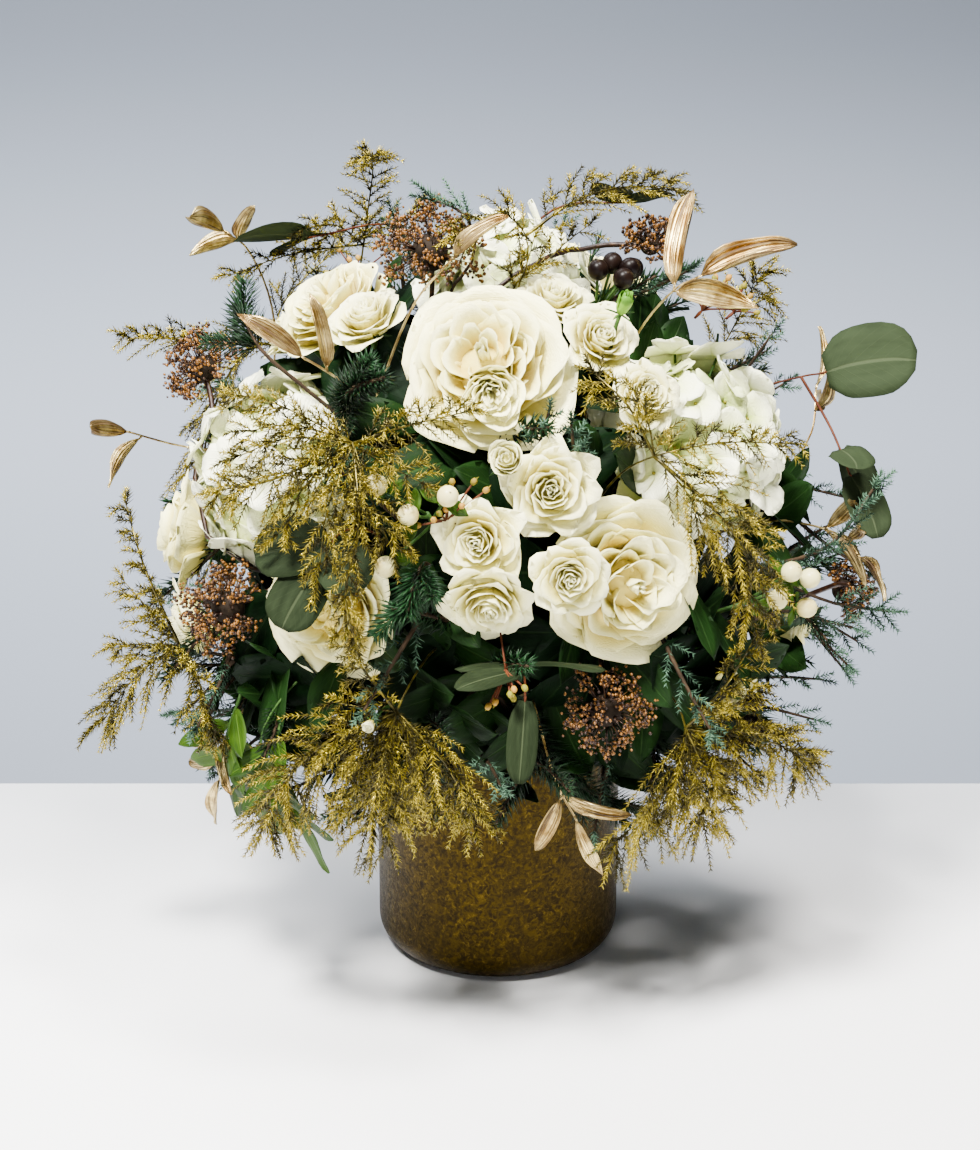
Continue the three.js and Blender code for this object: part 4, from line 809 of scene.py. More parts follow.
def shoots(path, start, spacing, reach, rng, taper=0.5, forward=0.8, lift=0.4, fall=0.25):
    # curved side shoots along a branch, to both sides and up, and one at its end
    distances = np.append(np.arange(start, path.length, spacing), path.length - 0.5)
    count = len(distances)
    middle, along, up, side = path.at(distances)
    fifth = np.arange(count) % 5 == 4
    hand = np.where(np.arange(count) % 2, 1.0, -1.0) * rng.uniform(0.6, 1.1, count)
    hand = np.where(fifth, 0.2 * hand, hand)
    hand[-1] *= 0.1
    rise = np.where(fifth, lift + 0.4, lift * rng.uniform(-0.3, 1.0, count))
    way = unitOf(along * forward + side * hand[:, None] + up * rise[:, None])
    long = reach * (1 - taper * np.linspace(0, 1, count)) * rng.uniform(0.75, 1.12, count)
    t = np.linspace(0, 1, 7)[None, :, None]
    droop = down * fall + along[:, None] * 0.25
    line = middle[:, None] + long[:, None, None] * (way[:, None] * t + droop * t**2 * 0.8)
    return np.where(t < 0.01, line, clearOfBlooms(line, 1.5))


def feathered(batch, lines, spacing, length, width, rng, around=3, lean=0.9, thick=None):
    # needles all along curved shoots, in whorls, leaning forward
    count, steps, _ = lines.shape
    total = np.linalg.norm(np.diff(lines, axis=1), axis=2).sum(axis=1)
    stations = max(3, int(total.mean() / spacing))
    every = stations * around
    share = (np.arange(every) // around + rng.random(every) * 0.6) / stations
    spot = share * (steps - 1)
    low = np.minimum(spot.astype(int), steps - 2)
    part = (spot - low)[None, :, None]
    feet = lines[:, low] * (1 - part) + lines[:, low + 1] * part
    ways = unitOf(lines[:, low + 1] - lines[:, low])
    x = unitOf(np.cross(np.broadcast_to([0.31, 0.22, 0.93], ways.shape), ways))
    y = np.cross(ways, x)
    turn = (np.arange(every) * goldenAngle)[None, :] + rng.uniform(0, 6, (count, 1))
    out = np.cos(turn)[..., None] * x + np.sin(turn)[..., None] * y
    long = length * (1 - 0.55 * share**2)[None, :, None] * rng.uniform(0.75, 1.2, (count, every, 1))
    tips = feet + long * unitOf(ways * lean + out)
    tones = 0.3 * share[None] + rng.random((count, 1)) * 0.5 + rng.random((count, every)) * 0.3
    tones = np.clip(tones, 0, 1).ravel()
    needles(batch, feet.reshape(-1, 3), tips.reshape(-1, 3), width, tones, thick=thick)


def plume(batch, path, leafy, reach, rng, spacing=3.4):
    # tails trail from a fern's branch, and a shorter one leaves every second tail
    lines = shoots(path, leafy, spacing, reach * 1.1, rng, forward=0.6, lift=0.7, fall=0.4)
    at = rng.integers(2, 4, len(lines))[::2]
    chosen = lines[::2]
    count = len(chosen)
    each = np.arange(count)
    feet = chosen[each, at]
    ways = unitOf(chosen[each, at + 1] - feet)
    hand = np.where(rng.random(count) < 0.5, 1, -1)[:, None]
    sideways = unitOf(np.cross(ways, unitOf(feet - ballMiddle))) * hand
    long = reach * rng.uniform(0.35, 0.6, count)
    t = np.linspace(0, 1, 5)[None, :, None]
    way = unitOf(ways + sideways * 0.7 + rng.normal(0, 0.2, (count, 3)))
    second = feet[:, None] + long[:, None, None] * (way[:, None] * t + down * 0.3 * t**2)
    second = np.where(t < 0.01, second, clearOfBlooms(second, 1.0))
    for group in (lines, second):
        for line in group:
            tube(batch, line, np.linspace(0.4, 0.2, len(line)), 3)
        feathered(batch, group, 1.95, 5.7, 0.85, rng, lean=1.05)


def growFern(batch, name, kind, made, rng):
    for (path, leafy), reach in zip(made, kind["reach"][name]):
        plume(batch, path, leafy, reach, rng, 2.7 if name == "left_centre" else 3.4)
    # thinner branches between those
    ends = [path.points[-1] for path, _ in made]
    root = made[0][0]
    fork = root.at(root.length * 0.72)[0] if len(made) < 3 else made[1][0].points[0]
    for one, two in zip(ends, ends[1:]):
        for share in kind["between"].get(name, (0.36, 0.68)):
            end = fork + (one + (two - one) * share - fork) * rng.uniform(0.72, 0.95)
            middle = (fork + end) / 2 + unitOf(fork - ballMiddle) * 6 + rng.normal(0, 3, 3)
            line = clearOfBlooms(curveThrough([fork, middle, end], 6), 2.0)
            tube(batch, line, np.linspace(0.6, 0.3, len(line)), 4, 0.45)
            plume(batch, Path(line), 4, 22, rng, 4.4)


def growFir(batch, name, kind, made, rng):
    for path, leafy in made:
        line = path.at(np.linspace(leafy, path.length, 14))[0][None]
        feathered(batch, line, 0.9, 19, 1.5, rng, 4, 0.95, 0.3)
        side = shoots(path, leafy, 22, 26, rng, lift=0.6)[:-1]
        feathered(batch, side, 1.2, 15, 1.4, rng, 4, 1.0, 0.3)


def growJuniper(batch, name, kind, made, rng):
    for path, leafy in made:
        lines = shoots(path, leafy, 5.5, 23, rng, taper=0.4, fall=0.0, forward=1.0)
        feathered(batch, lines, 1.6, 5.5, 1.0, rng, 3, 0.8)


def growSkimmia(batch, name, kind, made, rng):
    # stalks to small clumps of beads over a dome
    for (path, _), size in zip(made, kind["heads"][name]):
        middle = path.points[-1]
        bloomBalls.append((middle, size * 1.1))
        out = unitOf(middle - heart)
        clumps = unitOf(fibonacci(46, size) + rng.normal(0, 0.12, (46, 3)))
        clumps = clumps[clumps @ out > -0.4]
        count = len(clumps)
        spots = middle + clumps * (size * rng.uniform(0.78, 1.1, count))[:, None]
        each = int(23 * (size / 20) ** 1.4)
        buds = spots[:, None] + rng.normal(0, 1, (count, each, 3)) * size * 0.115
        radii = rng.uniform(0.6, 1.2, count * each)
        beads(batch, buds.reshape(-1, 3), radii, rng.random(count * each), 3, 4, long=1.2)
        feet = np.repeat(middle + clumps * size * 0.3, 3, axis=0)
        needles(batch, feet, buds[:, :3].reshape(-1, 3), 1.1, rng.random(3 * count) * 0.4)
        # a dark ball in each head's middle, standing in for the shade between the buds: painted shade
        beads(batch, middle, size * 0.42, 0.0, 8, 10, out, look=2)


def grownLeaves(node, paths):
    # the leaves that stand on a CAD node's stems: each as its foot, two middles and tip, and the
    # directions across at the two middles
    spots, same = np.unique(np.round(nodePoints(node), 2), axis=0, return_inverse=True)
    same = same.ravel()
    near = [set() for _ in spots]
    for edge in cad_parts[node].data.edges:
        a, b = (same[i] for i in edge.vertices)
        if a != b:
            near[a].add(b)
            near[b].add(a)
    line = np.vstack([path.at(np.linspace(0, path.length, 120))[0] for path in paths])
    away = np.linalg.norm(spots[:, None] - line[None], axis=2).min(axis=1)
    found = []
    for tip, ring in enumerate(near):
        if away[tip] < 12 or any(away[other] > away[tip] for other in ring) or len(ring) > 6:
            continue
        second = set().union(*(near[i] for i in ring)) - ring - {tip}
        base = set().union(*(near[i] for i in second)) - ring - second - {tip}
        base = [i for i in base if away[i] < 6]
        if not 3 <= len(ring) <= 6 or not 3 <= len(second) <= 7 or not base:
            continue
        rows = [spots[list(each)] for each in (base, second, ring)]
        acrosses = []
        for row in rows[1:]:
            gaps = np.linalg.norm(row[:, None] - row[None], axis=2)
            i, j = np.unravel_index(gaps.argmax(), gaps.shape)
            acrosses.append(row[i] - row[j])
        if acrosses[0] @ acrosses[1] < 0:
            acrosses[1] = -acrosses[1]
        found.append((np.array([*[row.mean(axis=0) for row in rows], spots[tip]]), np.array(acrosses)))
    return found


def leafSheets(lines, acrosses, widths, outline, rng, rows=11, cols=7, fold=0.25, roll=0, wave=0.02,
               facing=None):
    # leaf blades along four-point lines; outline gives the half width's share at each v
    v = np.linspace(0, 1, rows)
    u = np.linspace(-1, 1, cols)
    sheets = []
    for knots, wanted, width in zip(lines, acrosses, widths):
        line = curveThrough(knots, 6)
        shares = np.linspace(0, 1, len(line))
        middle = np.stack([np.interp(v, shares, line[:, i]) for i in range(3)], axis=1)
        ways = unitOf(np.gradient(middle, axis=0))
        across = unitOf(unitOf(wanted) - ways * (ways @ unitOf(wanted))[:, None])
        over = np.cross(ways, across)
        if facing is not None:
            over = unitOf(facing - ways * (ways @ facing)[:, None])
            across = np.cross(over, ways)
        elif over.mean(axis=0) @ (middle[rows // 2] - ballMiddle) < 0:
            over = -over
        half = (width / 2 * outline(v))[:, None]
        phase = rng.uniform(0, 6)
        if roll:
            turn = roll * u * rng.uniform(0.7, 1.2)
            sideways, raised = np.sin(turn) / roll, (1 - np.cos(turn)) / roll
        else:
            sideways, raised = u, fold * np.abs(u)
        length = np.linalg.norm(knots[-1] - knots[0])
        ripple = wave * length * np.sin(v[:, None] * 9 + phase + u * 2) * np.abs(u) ** 2
        sheets.append(middle[:, None] + (half * sideways)[..., None] * across[:, None]
                      + (half * raised + ripple)[..., None] * over[:, None])
    return np.array(sheets)


def lanceOutline(v):
    return np.sin(math.pi * np.clip(v, 0, 1) ** 0.8) ** 0.85 + 0.04


def roundOutline(v):
    return np.sqrt(np.clip(1 - (2 * np.clip(v, 0.04, 0.985) - 1) ** 2, 0, 1)) ** 0.9


leafKnots = np.array([0, 0.38, 0.74, 1.0])  # shares of a leaf's length


def growLeaves(batch, name, kind, made, rng):
    sparse = name in kind.get("sparse", ())
    facing = np.array([0, -0.75, 0.65]) if name in kind.get("upright", ()) else None
    lines, acrosses, widths = [], [], []
    for line, across in grownLeaves(kind["node"] + name, [path for path, _ in made]):
        petiole = (line[1] - line[0]) * 0.12
        lines.append(np.array([line[0] + petiole, *line[1:]]))
        acrosses.append(across[0])
        widths.append(np.linalg.norm(across, axis=1).max() * kind["scale"] * (0.74 if sparse else 1))
        tube(batch, [line[0] - petiole * 0.5, line[0] + petiole * 1.4], [0.8, 0.6], 5, look=1)
    sheets = leafSheets(lines, acrosses, widths, kind["outline"], rng, facing=facing, **kind["shape"])
    blades(batch, sheets, 0.6, rng.random(len(sheets)) * (0.1 if sparse else 1))


# Each kind of spray: its pieces' and nodes' names, its looks, its stems' two radii, look and tone,
# how it grows, and its branches. A branch is the spots it goes by and the number of the first
# branch's spot that it leaves at.
sprayKinds = {
    "skimmia": {
        "piece": "skimmiahead_", "node": "skimmia_", "looks": ("skimmia", "stem", "bark"),
        "stems": (1.6, 1.6, 0, 0.2), "grow": growSkimmia,
        "heads": {"top": (25, 15), "left": (23, 20), "right": (22, 17)},
        "branches": {
            "top": [([(-34, 62, 140), (-35, 60, 176)], 0), ([(58, 72, 178), (68, 62, 196)], 0)],
            "left": [([(-52, 0, 140), (-54, -5, 178)], 0), ([(-78, 22, 176), (-88, 29, 198)], 0)],
            "right": [([(24, -12, 140), (20, -18, 178)], 0), ([(64, -12, 170), (84, -12, 200)], 0)],
        },
    },
    "gold_leaves": {
        "piece": "gildedleaves_", "node": "gold_leaves_", "looks": ("gilded", "gilded"),
        "stems": (0.9, 0.6, 1, 0.5), "grow": growLeaves, "outline": lanceOutline, "scale": 1.1,
        "shape": {"fold": 0.2, "roll": 1.5, "wave": 0.03},
        "branches": {
            "left": [
                ([(-104, 10, 150), (-98, 12, 206), (-88, 15, 226)], 0),
                ([(-116, 36, 190), (-104, 46, 222), (-96, 47, 236)], 0),
            ],
            "top_right": [([(52, 52, 150), (54, 52, 196), (57, 51, 206)], 0)],
            "upper_left": [
                ([(-36, 38, 150), (-38, 38, 194), (-40, 38, 204)], 0), ([(-24, 54, 188), (-14, 59, 204)], 0),
            ],
            "lower_left": [([(-58, -24, 150), (-61, -30, 208), (-64, -36, 224)], 0)],
            "lower_right": [([(8, -26, 145), (13, -38, 180), (17, -42, 196)], 0)],
            "right": [([(84, 2, 150), (76, 2, 204), (72, 0, 216)], 0), ([(100, 14, 200), (104, 20, 214)], 0)],
        },
    },
    "eucalyptus": {
        "piece": "eucalyptusleaves_", "node": "eucalyptus_", "looks": ("eucalyptus", "redStem"),
        "stems": (0.9, 0.6, 1, 0.5), "grow": growLeaves, "outline": roundOutline, "scale": 1.12,
        "shape": {"fold": 0.08, "wave": 0.012}, "upright": ("right", "centre_left"), "sparse": ("bottom",),
        "branches": {
            "right": [
                ([(84, 30, 150), (84, 28, 200), (84, 27, 212)], 0), ([(80, 19, 206), (76, 12, 212)], 1),
            ],
            "centre_left": [([(-28, 12, 150), (-28, 12, 186), (-29, 7, 197)], 0)],
            "bottom": [([(4, -14, 150), (4, -9, 188), (4, -12, 196)], 0)],
            "top": [
                ([(-160, 74, 140), (-128, 66, 188), (-97, 57, 203)], 0),
                ([(150, 70, 192), (112, 66, 206)], 0),
            ],
        },
    },
    "ruscus": {
        "piece": "ruscusleaves_", "node": "ruscus", "looks": ("ruscus", "stem"), "stems": (0.9, 0.6, 1, 0.5),
        "grow": growLeaves, "outline": lanceOutline, "scale": 1.2, "shape": {"fold": 0.22, "wave": 0.01},
        "branches": {"": [([(-44, -20, 150), (-47, -25, 198), (-50, -36, 212)], 0)]},
    },
    "fir": {
        "piece": "firtwig_", "node": "fir_", "looks": ("fir", "bark"), "stems": (1.8, 1.0, 1, 0.5),
        "grow": growFir,
        "branches": {
            "upper_left": [
                ([(-46, 34, 150), (-54, 38, 204), (-62, 42, 218)], 0), ([(-30, 36, 190), (-22, 37, 200)], 0),
            ],
            "centre": [([(-14, 6, 150), (-13, 8, 186), (-14, 2, 198)], 0)],
            "bottom": [
                ([(-4, -20, 145), (-14, -30, 182), (-22, -39, 194)], 0),
                ([(20, -42, 176), (37, -44, 198)], 0),
            ],
        },
    },
    "juniper": {
        "piece": "junipertwig_", "node": "juniper_", "looks": ("juniper", "bark"),
        "stems": (1.6, 0.8, 1, 0.5), "grow": growJuniper,
        "branches": {
            "right": [([(64, -4, 150), (68, -7, 208), (76, -9, 236)], 0), ([(62, 4, 208), (66, 12, 234)], 0)],
            "lower_left": [([(-68, -22, 150), (-68, -28, 206), (-72, -36, 222)], 0)],
            "top": [([(-27, 68, 150), (-22, 68, 196), (-28, 69, 216)], 0)],
        },
    },
    "gold_fern": {
        "piece": "fern_", "node": "gold_fern_", "looks": ("fern",), "stems": (1.0, 0.4, 0, 0.45),
        "grow": growFern,
        "reach": {  # of the tails, by branch
            "left_centre": (15, 25, 14, 22), "bottom_left": (38, 30, 34, 15), "right_centre": (20, 24, 34),
            "bottom_right": (36, 34, 32, 24), "top": (26, 30), "upper_left": (24, 28),
            "lower_left": (32, 18, 26), "back_right": (34, 34), "back_left": (34, 34),
        },
        "between": {"right_centre": (0.8,), "back_left": (0.4,), "back_right": (0.4,)},
        "branches": {
            "left_centre": [
                ([(-20, 24, 150), (-24, 26, 206), (-36, 29, 224), (-47, 29, 224)], 0),
                ([(-34, 19, 222), (-44, 16, 222)], 1), ([(-20, 14, 216), (-21, 5, 220), (-20, -3, 214)], 1),
                ([(-14, 29, 212), (-5, 31, 214)], 1),
            ],
            "bottom_left": [
                ([(-14, -12, 150), (-17, -16, 194), (-20, -27, 212), (-24, -38, 214)], 0),
                ([(-9, -22, 206), (-5, -35, 204)], 1),
                ([(-28, -20, 212), (-36, -27, 224), (-45, -37, 232)], 1),
                ([(-20, -8, 204), (-24, -2, 206)], 1),
            ],
            "right_centre": [
                ([(25, 22, 150), (25, 24, 206), (34, 24, 222), (46, 22, 226)], 0),
                ([(21, 31, 214), (17, 37, 208)], 1), ([(32, 15, 218), (37, 7, 218), (39, -1, 210)], 1),
            ],
            "bottom_right": [
                ([(32, -17, 150), (34, -22, 196), (29, -33, 212), (24, -42, 214)], 0),
                ([(40, -32, 214), (46, -43, 216)], 1), ([(48, -24, 216), (60, -29, 226), (68, -34, 230)], 1),
                ([(38, -13, 204), (41, -6, 208)], 1),
            ],
            "top": [
                ([(10, 66, 150), (10, 66, 202), (0, 68, 212), (-14, 63, 206)], 0),
                ([(36, 70, 214), (62, 68, 222), (78, 63, 226)], 1),
            ],
            "upper_left": [
                ([(-114, 48, 140), (-122, 60, 190), (-112, 69, 222), (-80, 71, 232)], 0),
                ([(-100, 32, 196), (-90, 30, 226), (-88, 28, 244)], 0),
            ],
            "lower_left": [
                ([(-64, -12, 150), (-66, -14, 206), (-72, -18, 232), (-78, -24, 262)], 0),
                ([(-62, 2, 224), (-68, 9, 228)], 1), ([(-54, -16, 214), (-57, -26, 214)], 1),
            ],
            "back_right": [
                ([(134, 16, 150), (134, 20, 206), (126, 30, 224), (116, 38, 226)], 0),
                ([(140, 8, 222), (142, -8, 228), (142, -22, 224)], 1),
            ],
            "back_left": [
                ([(-126, 26, 150), (-128, 30, 206), (-140, 40, 220), (-160, 50, 222)], 0),
                ([(-124, 16, 222), (-122, -4, 230), (-124, -22, 228)], 1),
            ],
        },
    },
}


def spray(slot, kind, name, branches, rng):
    batch = Batch(*kind["looks"])
    made = branchesOf(kind["node"] + name, branches, kind["heads"][name] if "heads" in kind else None)
    near, far, look, tone = kind["stems"]
    for path, _ in made:
        every = 2 if len(path.points) % 2 else 1
        radii = near + (far - near) * path.lengths / path.length
        tube(batch, path.points[::every], radii[::every], 6, tone, look)
    kind["grow"](batch, name, kind, made, rng)
    batch.piece(kind["piece"] + name, slot, kind["node"] + name)


# where hypericum forks and the spots of its berries
hypericums = {
    "centre": ((-13, 17, 176), [(-19.5, 20.5, 202), (-14, 16.5, 202), (-8, 19.5, 202), (-17.5, 8.5, 198)]),
    "right": ((50, -4, 180), [(46, -0.5, 208), (49.5, 3, 208), (54, 1, 210), (53.5, -3.5, 210)]),
}


def berryLeaf(batch, middle, along, angle, behind, line, width, grid, thickness, look, rng):
    # a leaf beside a berry; its line's places are out from the stem and forward
    x, y = acrossOf(along)
    way = math.cos(angle) * x[0] + math.sin(angle) * y[0]
    foot = middle - along * behind
    line = np.array([foot + way * out + along * ahead for out, ahead in line])
    sheets = leafSheets([line], [np.cross(way, along)], [width], lanceOutline, rng, *grid)
    blades(batch, sheets, thickness, rng.random(1), look)


def berries(name, fork, spots, radius, node, slot, look, leafy, rng):
    batch = Batch(look, "stem", "ruscus")
    root, end = rootOf(node), place(fork)
    tube(batch, curveThrough([*root, end], 4), 1.5, look=1)
    back = unitOf(root[1] - end)
    for n, middle in enumerate(spots):
        start = end + back * (1.5 + 3.5 * n)
        along = unitOf(middle - start)
        stalk = curveThrough([start, middle - along * radius * 1.15, middle - along * radius * 0.9], 3)
        tube(batch, stalk, 0.9, look=1)
        beads(batch, middle, radius, rng.random(1), 12, 18, along, 1.06)
        needles(batch, middle + along * radius * 0.98, middle + along * radius * 1.28, 0.8, [0.1])
        if leafy:
            sepal = ((0, 0), (2.2, 0), (4.2, 1.0), (5.4, 2.4))
            leaf = ((0, 0), (5, 0), (10, -1), (14.5, 0))
            for k in range(5):
                berryLeaf(batch, middle, along, k * 1.257, radius * 1.1, sepal, 3.0, (6, 3), 0.5, 1, rng)
            for hand in (0.6, 3.6):
                berryLeaf(batch, middle, along, hand + n, radius * 1.3, leaf, 8.0, (8, 5), 0.6, 2, rng)
    batch.piece("berries_" + name, slot, node)


def darkBerryPlaces():
    # five berries round a middle, turned to face outwards
    centre = place((43, 59, 190))
    out = unitOf(centre - heart)
    axis = unitOf(np.cross(-down, out))
    turn = math.acos(out[2])
    spots = []
    for k in range(5):
        angle, level = k * goldenAngle, 14 * math.sqrt((k + 0.4) / 5)
        way = np.array([level * math.cos(angle), level * math.sin(angle), 6 - 0.5 * level])
        spots.append(centre + way * math.cos(turn) + np.cross(axis, way) * math.sin(turn)
                     + axis * (axis @ way) * (1 - math.cos(turn)))
    return spots


for name, (fork, spots) in hypericums.items():
    places = [place(spot) for spot in spots]
    rng = np.random.default_rng(71)
    berries(name, fork, places, 5.6, "hypericum_" + name, "hypericum", "hypericum", True, rng)
rng = np.random.default_rng(72)
places = darkBerryPlaces()
berries("dark", (42, 60, 170), places, 5.8, "dark_berries", "dark_berries", "darkBerry", False, rng)
for slot, kind in sprayKinds.items():
    for k, (name, branches) in enumerate(kind["branches"].items()):
        spray(slot, kind, name, branches, np.random.default_rng(100 + k))
print("sprays made")


def rosebud(batch, spot, faces, size, opened, rng):
    # a bud wrapped in its petals, with green sepals and a stalk
    bloom = BloomFrame(spot, faces, size)
    look = 0 if opened else 2
    for k, radius in enumerate((0.52, 0.46, 0.36, 0.24, 0.12)[look:]):
        petals(batch, bloom, rng, k * 1.3 + np.arange(3) * 2.094, radius, 1.3, low=0.1, cup=0.55,
               curl=0.03 if opened else -0.1, rise=0.25, foot=-0.02, rows=8, cols=7, twist=0.12, look=look)
    beads(batch, bloom.base + bloom.axis * 0.3 * size, 0.3 * size, 0.6, 8, 10, bloom.axis, 1.5, look)
    sepals(batch, bloom, rng, 1, 0.6)
    stalk = [bloom.base - bloom.axis * 26 + down * 6, bloom.base - bloom.axis * 10, bloom.base]
    tube(batch, stalk, 1.2, look=1)


def seedStems(batch, spot, rng):
    # thin red stems with star-like seed capsules
    foot = place((spot[0], spot[1], spot[2] - 24))
    out = unitOf(foot - ballMiddle)
    for _ in range(9):
        way = unitOf(out * 0.7 + rng.normal(0, 0.55, 3))
        tip = foot + way * rng.uniform(18, 30)
        tube(batch, curveThrough([foot, foot + out * 6, tip], 4), np.linspace(0.8, 0.5, 9), 5)
        beads(batch, tip, 1.9, rng.random(1), 4, 6, way, 1.2, 1)
        needles(batch, tip + way * 1.2, tip + way * 3.4 + rng.normal(0, 0.8, 3), 1.2, rng.random(1), 1)


rng = np.random.default_rng(8)
batch = Batch("sprayRose", "stem", "budGreen")
rosebud(batch, (1, 25.5, 196), (-6, 22), 17, True, rng)
rosebud(batch, (30, 49.5, 206), (28, 60), 12, False, rng)
rosebud(batch, (-20, -16, 210), (-26, -18), 6, True, rng)
batch.piece("rosebuds", "spray_rose")
batch = Batch("redStem", "seed")
for spot in ((1, -8, 208), (-9, 16, 200), (66, 48, 204), (104, 40, 208), (-140, 44, 208)):
    seedStems(batch, spot, rng)
batch.piece("eucalyptus_capsules", "eucalyptus")
# a second bunch of dark berries low on the right, and one behind
batch = Batch("darkBerry", "stem")
for spot in ((52, -26, 204), (-150, -20, 204)):
    middles = place(spot) + rng.normal(0, 6, (5, 3))
    beads(batch, middles, 5.4, rng.random(5), 10, 14)
    for middle in middles:
        tube(batch, [middle, place((*spot[:2], 165))], 0.9, 5, look=1)
batch.piece("berries_extra", "dark_berries")
# more leaves of the bright ruscus, and some behind; each twig's first and last azimuth and elevation
batch = Batch("ruscus", "stem")
lines, acrosses = [], []
for first, last in (((-56, -22), (-62, -38)), ((-44, -24), (-40, -38)), ((128, -16), (132, -36)),
                    ((-140, -10), (-150, -34))):
    knots = [place((*first, 190)), place((first[0], first[1] - 6, 212)), place((*last, 218))]
    line = curveThrough(knots, 6)
    tube(batch, line, np.linspace(1.1, 0.6, len(line)), 5, look=1)
    path = Path(line)
    middle, along, up, side = path.at(np.linspace(10, path.length, 8))
    for k, hand in enumerate((-0.8, 0.8, -0.8, 0.8, -0.8, 0.8, -0.8, 0)):
        way = unitOf(along[k] * 0.7 + side[k] * hand + up[k] * rng.uniform(0.0, 0.4))
        lines.append(middle[k] + way * np.array([[0], [0.36], [0.74], [1.0]]) * rng.uniform(30, 38))
        acrosses.append(np.cross(way, up[k]))
sheets = leafSheets(lines, acrosses, np.full(len(lines), 13.0), lanceOutline, rng, 9, 5, 0.2)
blades(batch, sheets, 0.5, rng.random(len(lines)))
batch.piece("ruscus_extra", "ruscus")


def freeReach(ways, most):
    # how far out one can go along each way before a flower head
    reach = np.array(most, float)
    for middle, radius in bloomBalls:
        toMiddle = middle - ballMiddle
        along = ways @ toMiddle
        near = (toMiddle @ toMiddle) - along**2
        enter = along - np.sqrt(np.maximum(0, radius**2 - near))
        reach = np.where((near < radius**2) & (along > 0), np.minimum(reach, enter), reach)
    return reach


def fillWays(count, turn, most, least, more):
    # ways from the ball's middle with how far each goes, wider low down at the sides, then more spots
    ways = fibonacci(count, turn)
    ways = ways[ways[:, 2] > -0.72]
    band = np.clip(1 - np.abs(ways[:, 2] + 0.35) / 0.45, 0, 1)
    wider = 14 * band + 20 * np.abs(ways[:, 0]) * np.clip((0.6 - ways[:, 2]) * 3, 0, 1)
    reach = freeReach(ways, most + (wider - 8 * np.clip(ways[:, 1] * 2, 0, 1)) * (most > 160))
    kept = reach > least
    ways = np.vstack([ways[kept], [towards(azimuth, elevation) for azimuth, elevation, _ in more]])
    return ways, np.append(reach[kept], [far for _, _, far in more])


def fillLeaves(batch, ways, ends, rng, long, wide, lean):
    count = len(ways)
    x, y = acrossOf(ways)
    turn = rng.uniform(0, fullTurn, count)[:, None]
    sideways = np.cos(turn) * x + np.sin(turn) * y
    way = unitOf(ways + sideways * lean)
    across = np.cross(way, sideways) + sideways * rng.uniform(-0.5, 0.5, (count, 1)) * (lean < 1)
    long = long * rng.uniform(0.8, 1.2, count)
    foot = ballMiddle + ways * ends[:, None] - way * (long * min(1, 1.2 / (lean + 0.5)))[:, None]
    lines = foot[:, None] + way[:, None] * (long[:, None] * leafKnots)[..., None]
    lines = lines + ways[:, None] * (-0.12 * long[:, None] * leafKnots**2)[..., None]
    sheets = leafSheets(lines, across, wide * rng.uniform(0.8, 1.2, count), lanceOutline, rng, 9, 5, 0.2)
    blades(batch, sheets, 0.5, rng.random(count))


def fillTwigs(batch, ways, ends, rng, grow):
    x, y = acrossOf(ways)
    for k, (way, end) in enumerate(zip(ways, ends)):
        turn = rng.uniform(0, fullTurn)
        lean = unitOf(way + 0.6 * (math.cos(turn) * x[k] + math.sin(turn) * y[k]))
        tip = ballMiddle + way * end
        foot = tip - lean * rng.uniform(48, 66)
        line = curveThrough([foot, tip - lean * 26 - way * 3, tip], 5)
        tube(batch, line, np.linspace(1.5, 0.7, len(line)), 5, look=1)
        grow(batch, line, rng)


def firNeedles(batch, line, rng):
    feathered(batch, line[None], 1.5, 16, 1.5, rng, 3, 0.95, 0.3)


def juniperNeedles(batch, line, rng):
    feathered(batch, shoots(Path(line), 8, 8, 20, rng, fall=0.0, forward=1.0), 1.8, 5.5, 1.0, rng, 3, 0.8)


# What fills the ball between the flowers: how many ways and their turn, the most and least reach,
# how much nearer the ends come, what is made with which settings, and more spots.
fills = {
    # near-black leaves deep in the ball under the flowers: filler leaves coloured as painted shade
    "fill_under": {
        "ways": (260, 0.4, 150, 96), "nearer": (0, 14), "looks": ("shadeBacking",), "make": fillLeaves,
        "settings": (64, 34, 2.4),
        "more": [
            (38, -24, 176), (44, -18, 176), (36, -14, 176), (48, -26, 176), (30, -30, 176), (-44, -16, 176),
            (-48, -20, 176), (-40, -24, 176), (-52, -10, 176), (54, -16, 176),
        ],
    },
    "fill_leaves": {
        "ways": (420, 1.7, 186, 128), "nearer": (2, 16), "looks": ("leaf",), "make": fillLeaves,
        "settings": (62, 24, 0.7),
        "more": [
            (-58, -30, 218), (-50, -36, 214), (-42, -41, 208), (-66, -27, 220), (-36, -36, 208),
            (-30, -43, 202), (-46, -29, 214), (-24, -34, 204), (62, -30, 216), (54, -38, 210), (70, -34, 214),
            (44, -42, 206), (80, -24, 218), (36, -38, 206),
        ],
    },
    "fill_fir": {
        "ways": (112, 2.9, 198, 140), "nearer": (0, 10), "looks": ("fir", "bark"), "make": fillTwigs,
        "settings": (firNeedles,), "slot": "fir",
        "more": [
            (-84, -12, 222), (-76, -20, 224), (60, -36, 218), (-50, -38, 218), (-92, -22, 222),
            (96, -20, 222), (-62, -30, 220), (44, -44, 204), (52, -40, 206), (-38, -46, 204), (-30, -48, 196),
            (-8, -46, 190), (30, -50, 190),
        ],
    },
    "fill_juniper": {
        "ways": (70, 4.1, 202, 150), "nearer": (0, 8), "looks": ("juniper", "bark"), "make": fillTwigs,
        "settings": (juniperNeedles,), "slot": "juniper",
        "more": [
            (12, 30, 206), (9, 33, 200), (84, -6, 226), (92, -12, 228), (80, -20, 226), (70, -27, 222),
            (98, 2, 224), (-72, -27, 224), (-80, -32, 224), (-66, -36, 222), (88, -26, 224), (74, -14, 226),
        ],
    },
}
rng = np.random.default_rng(5)
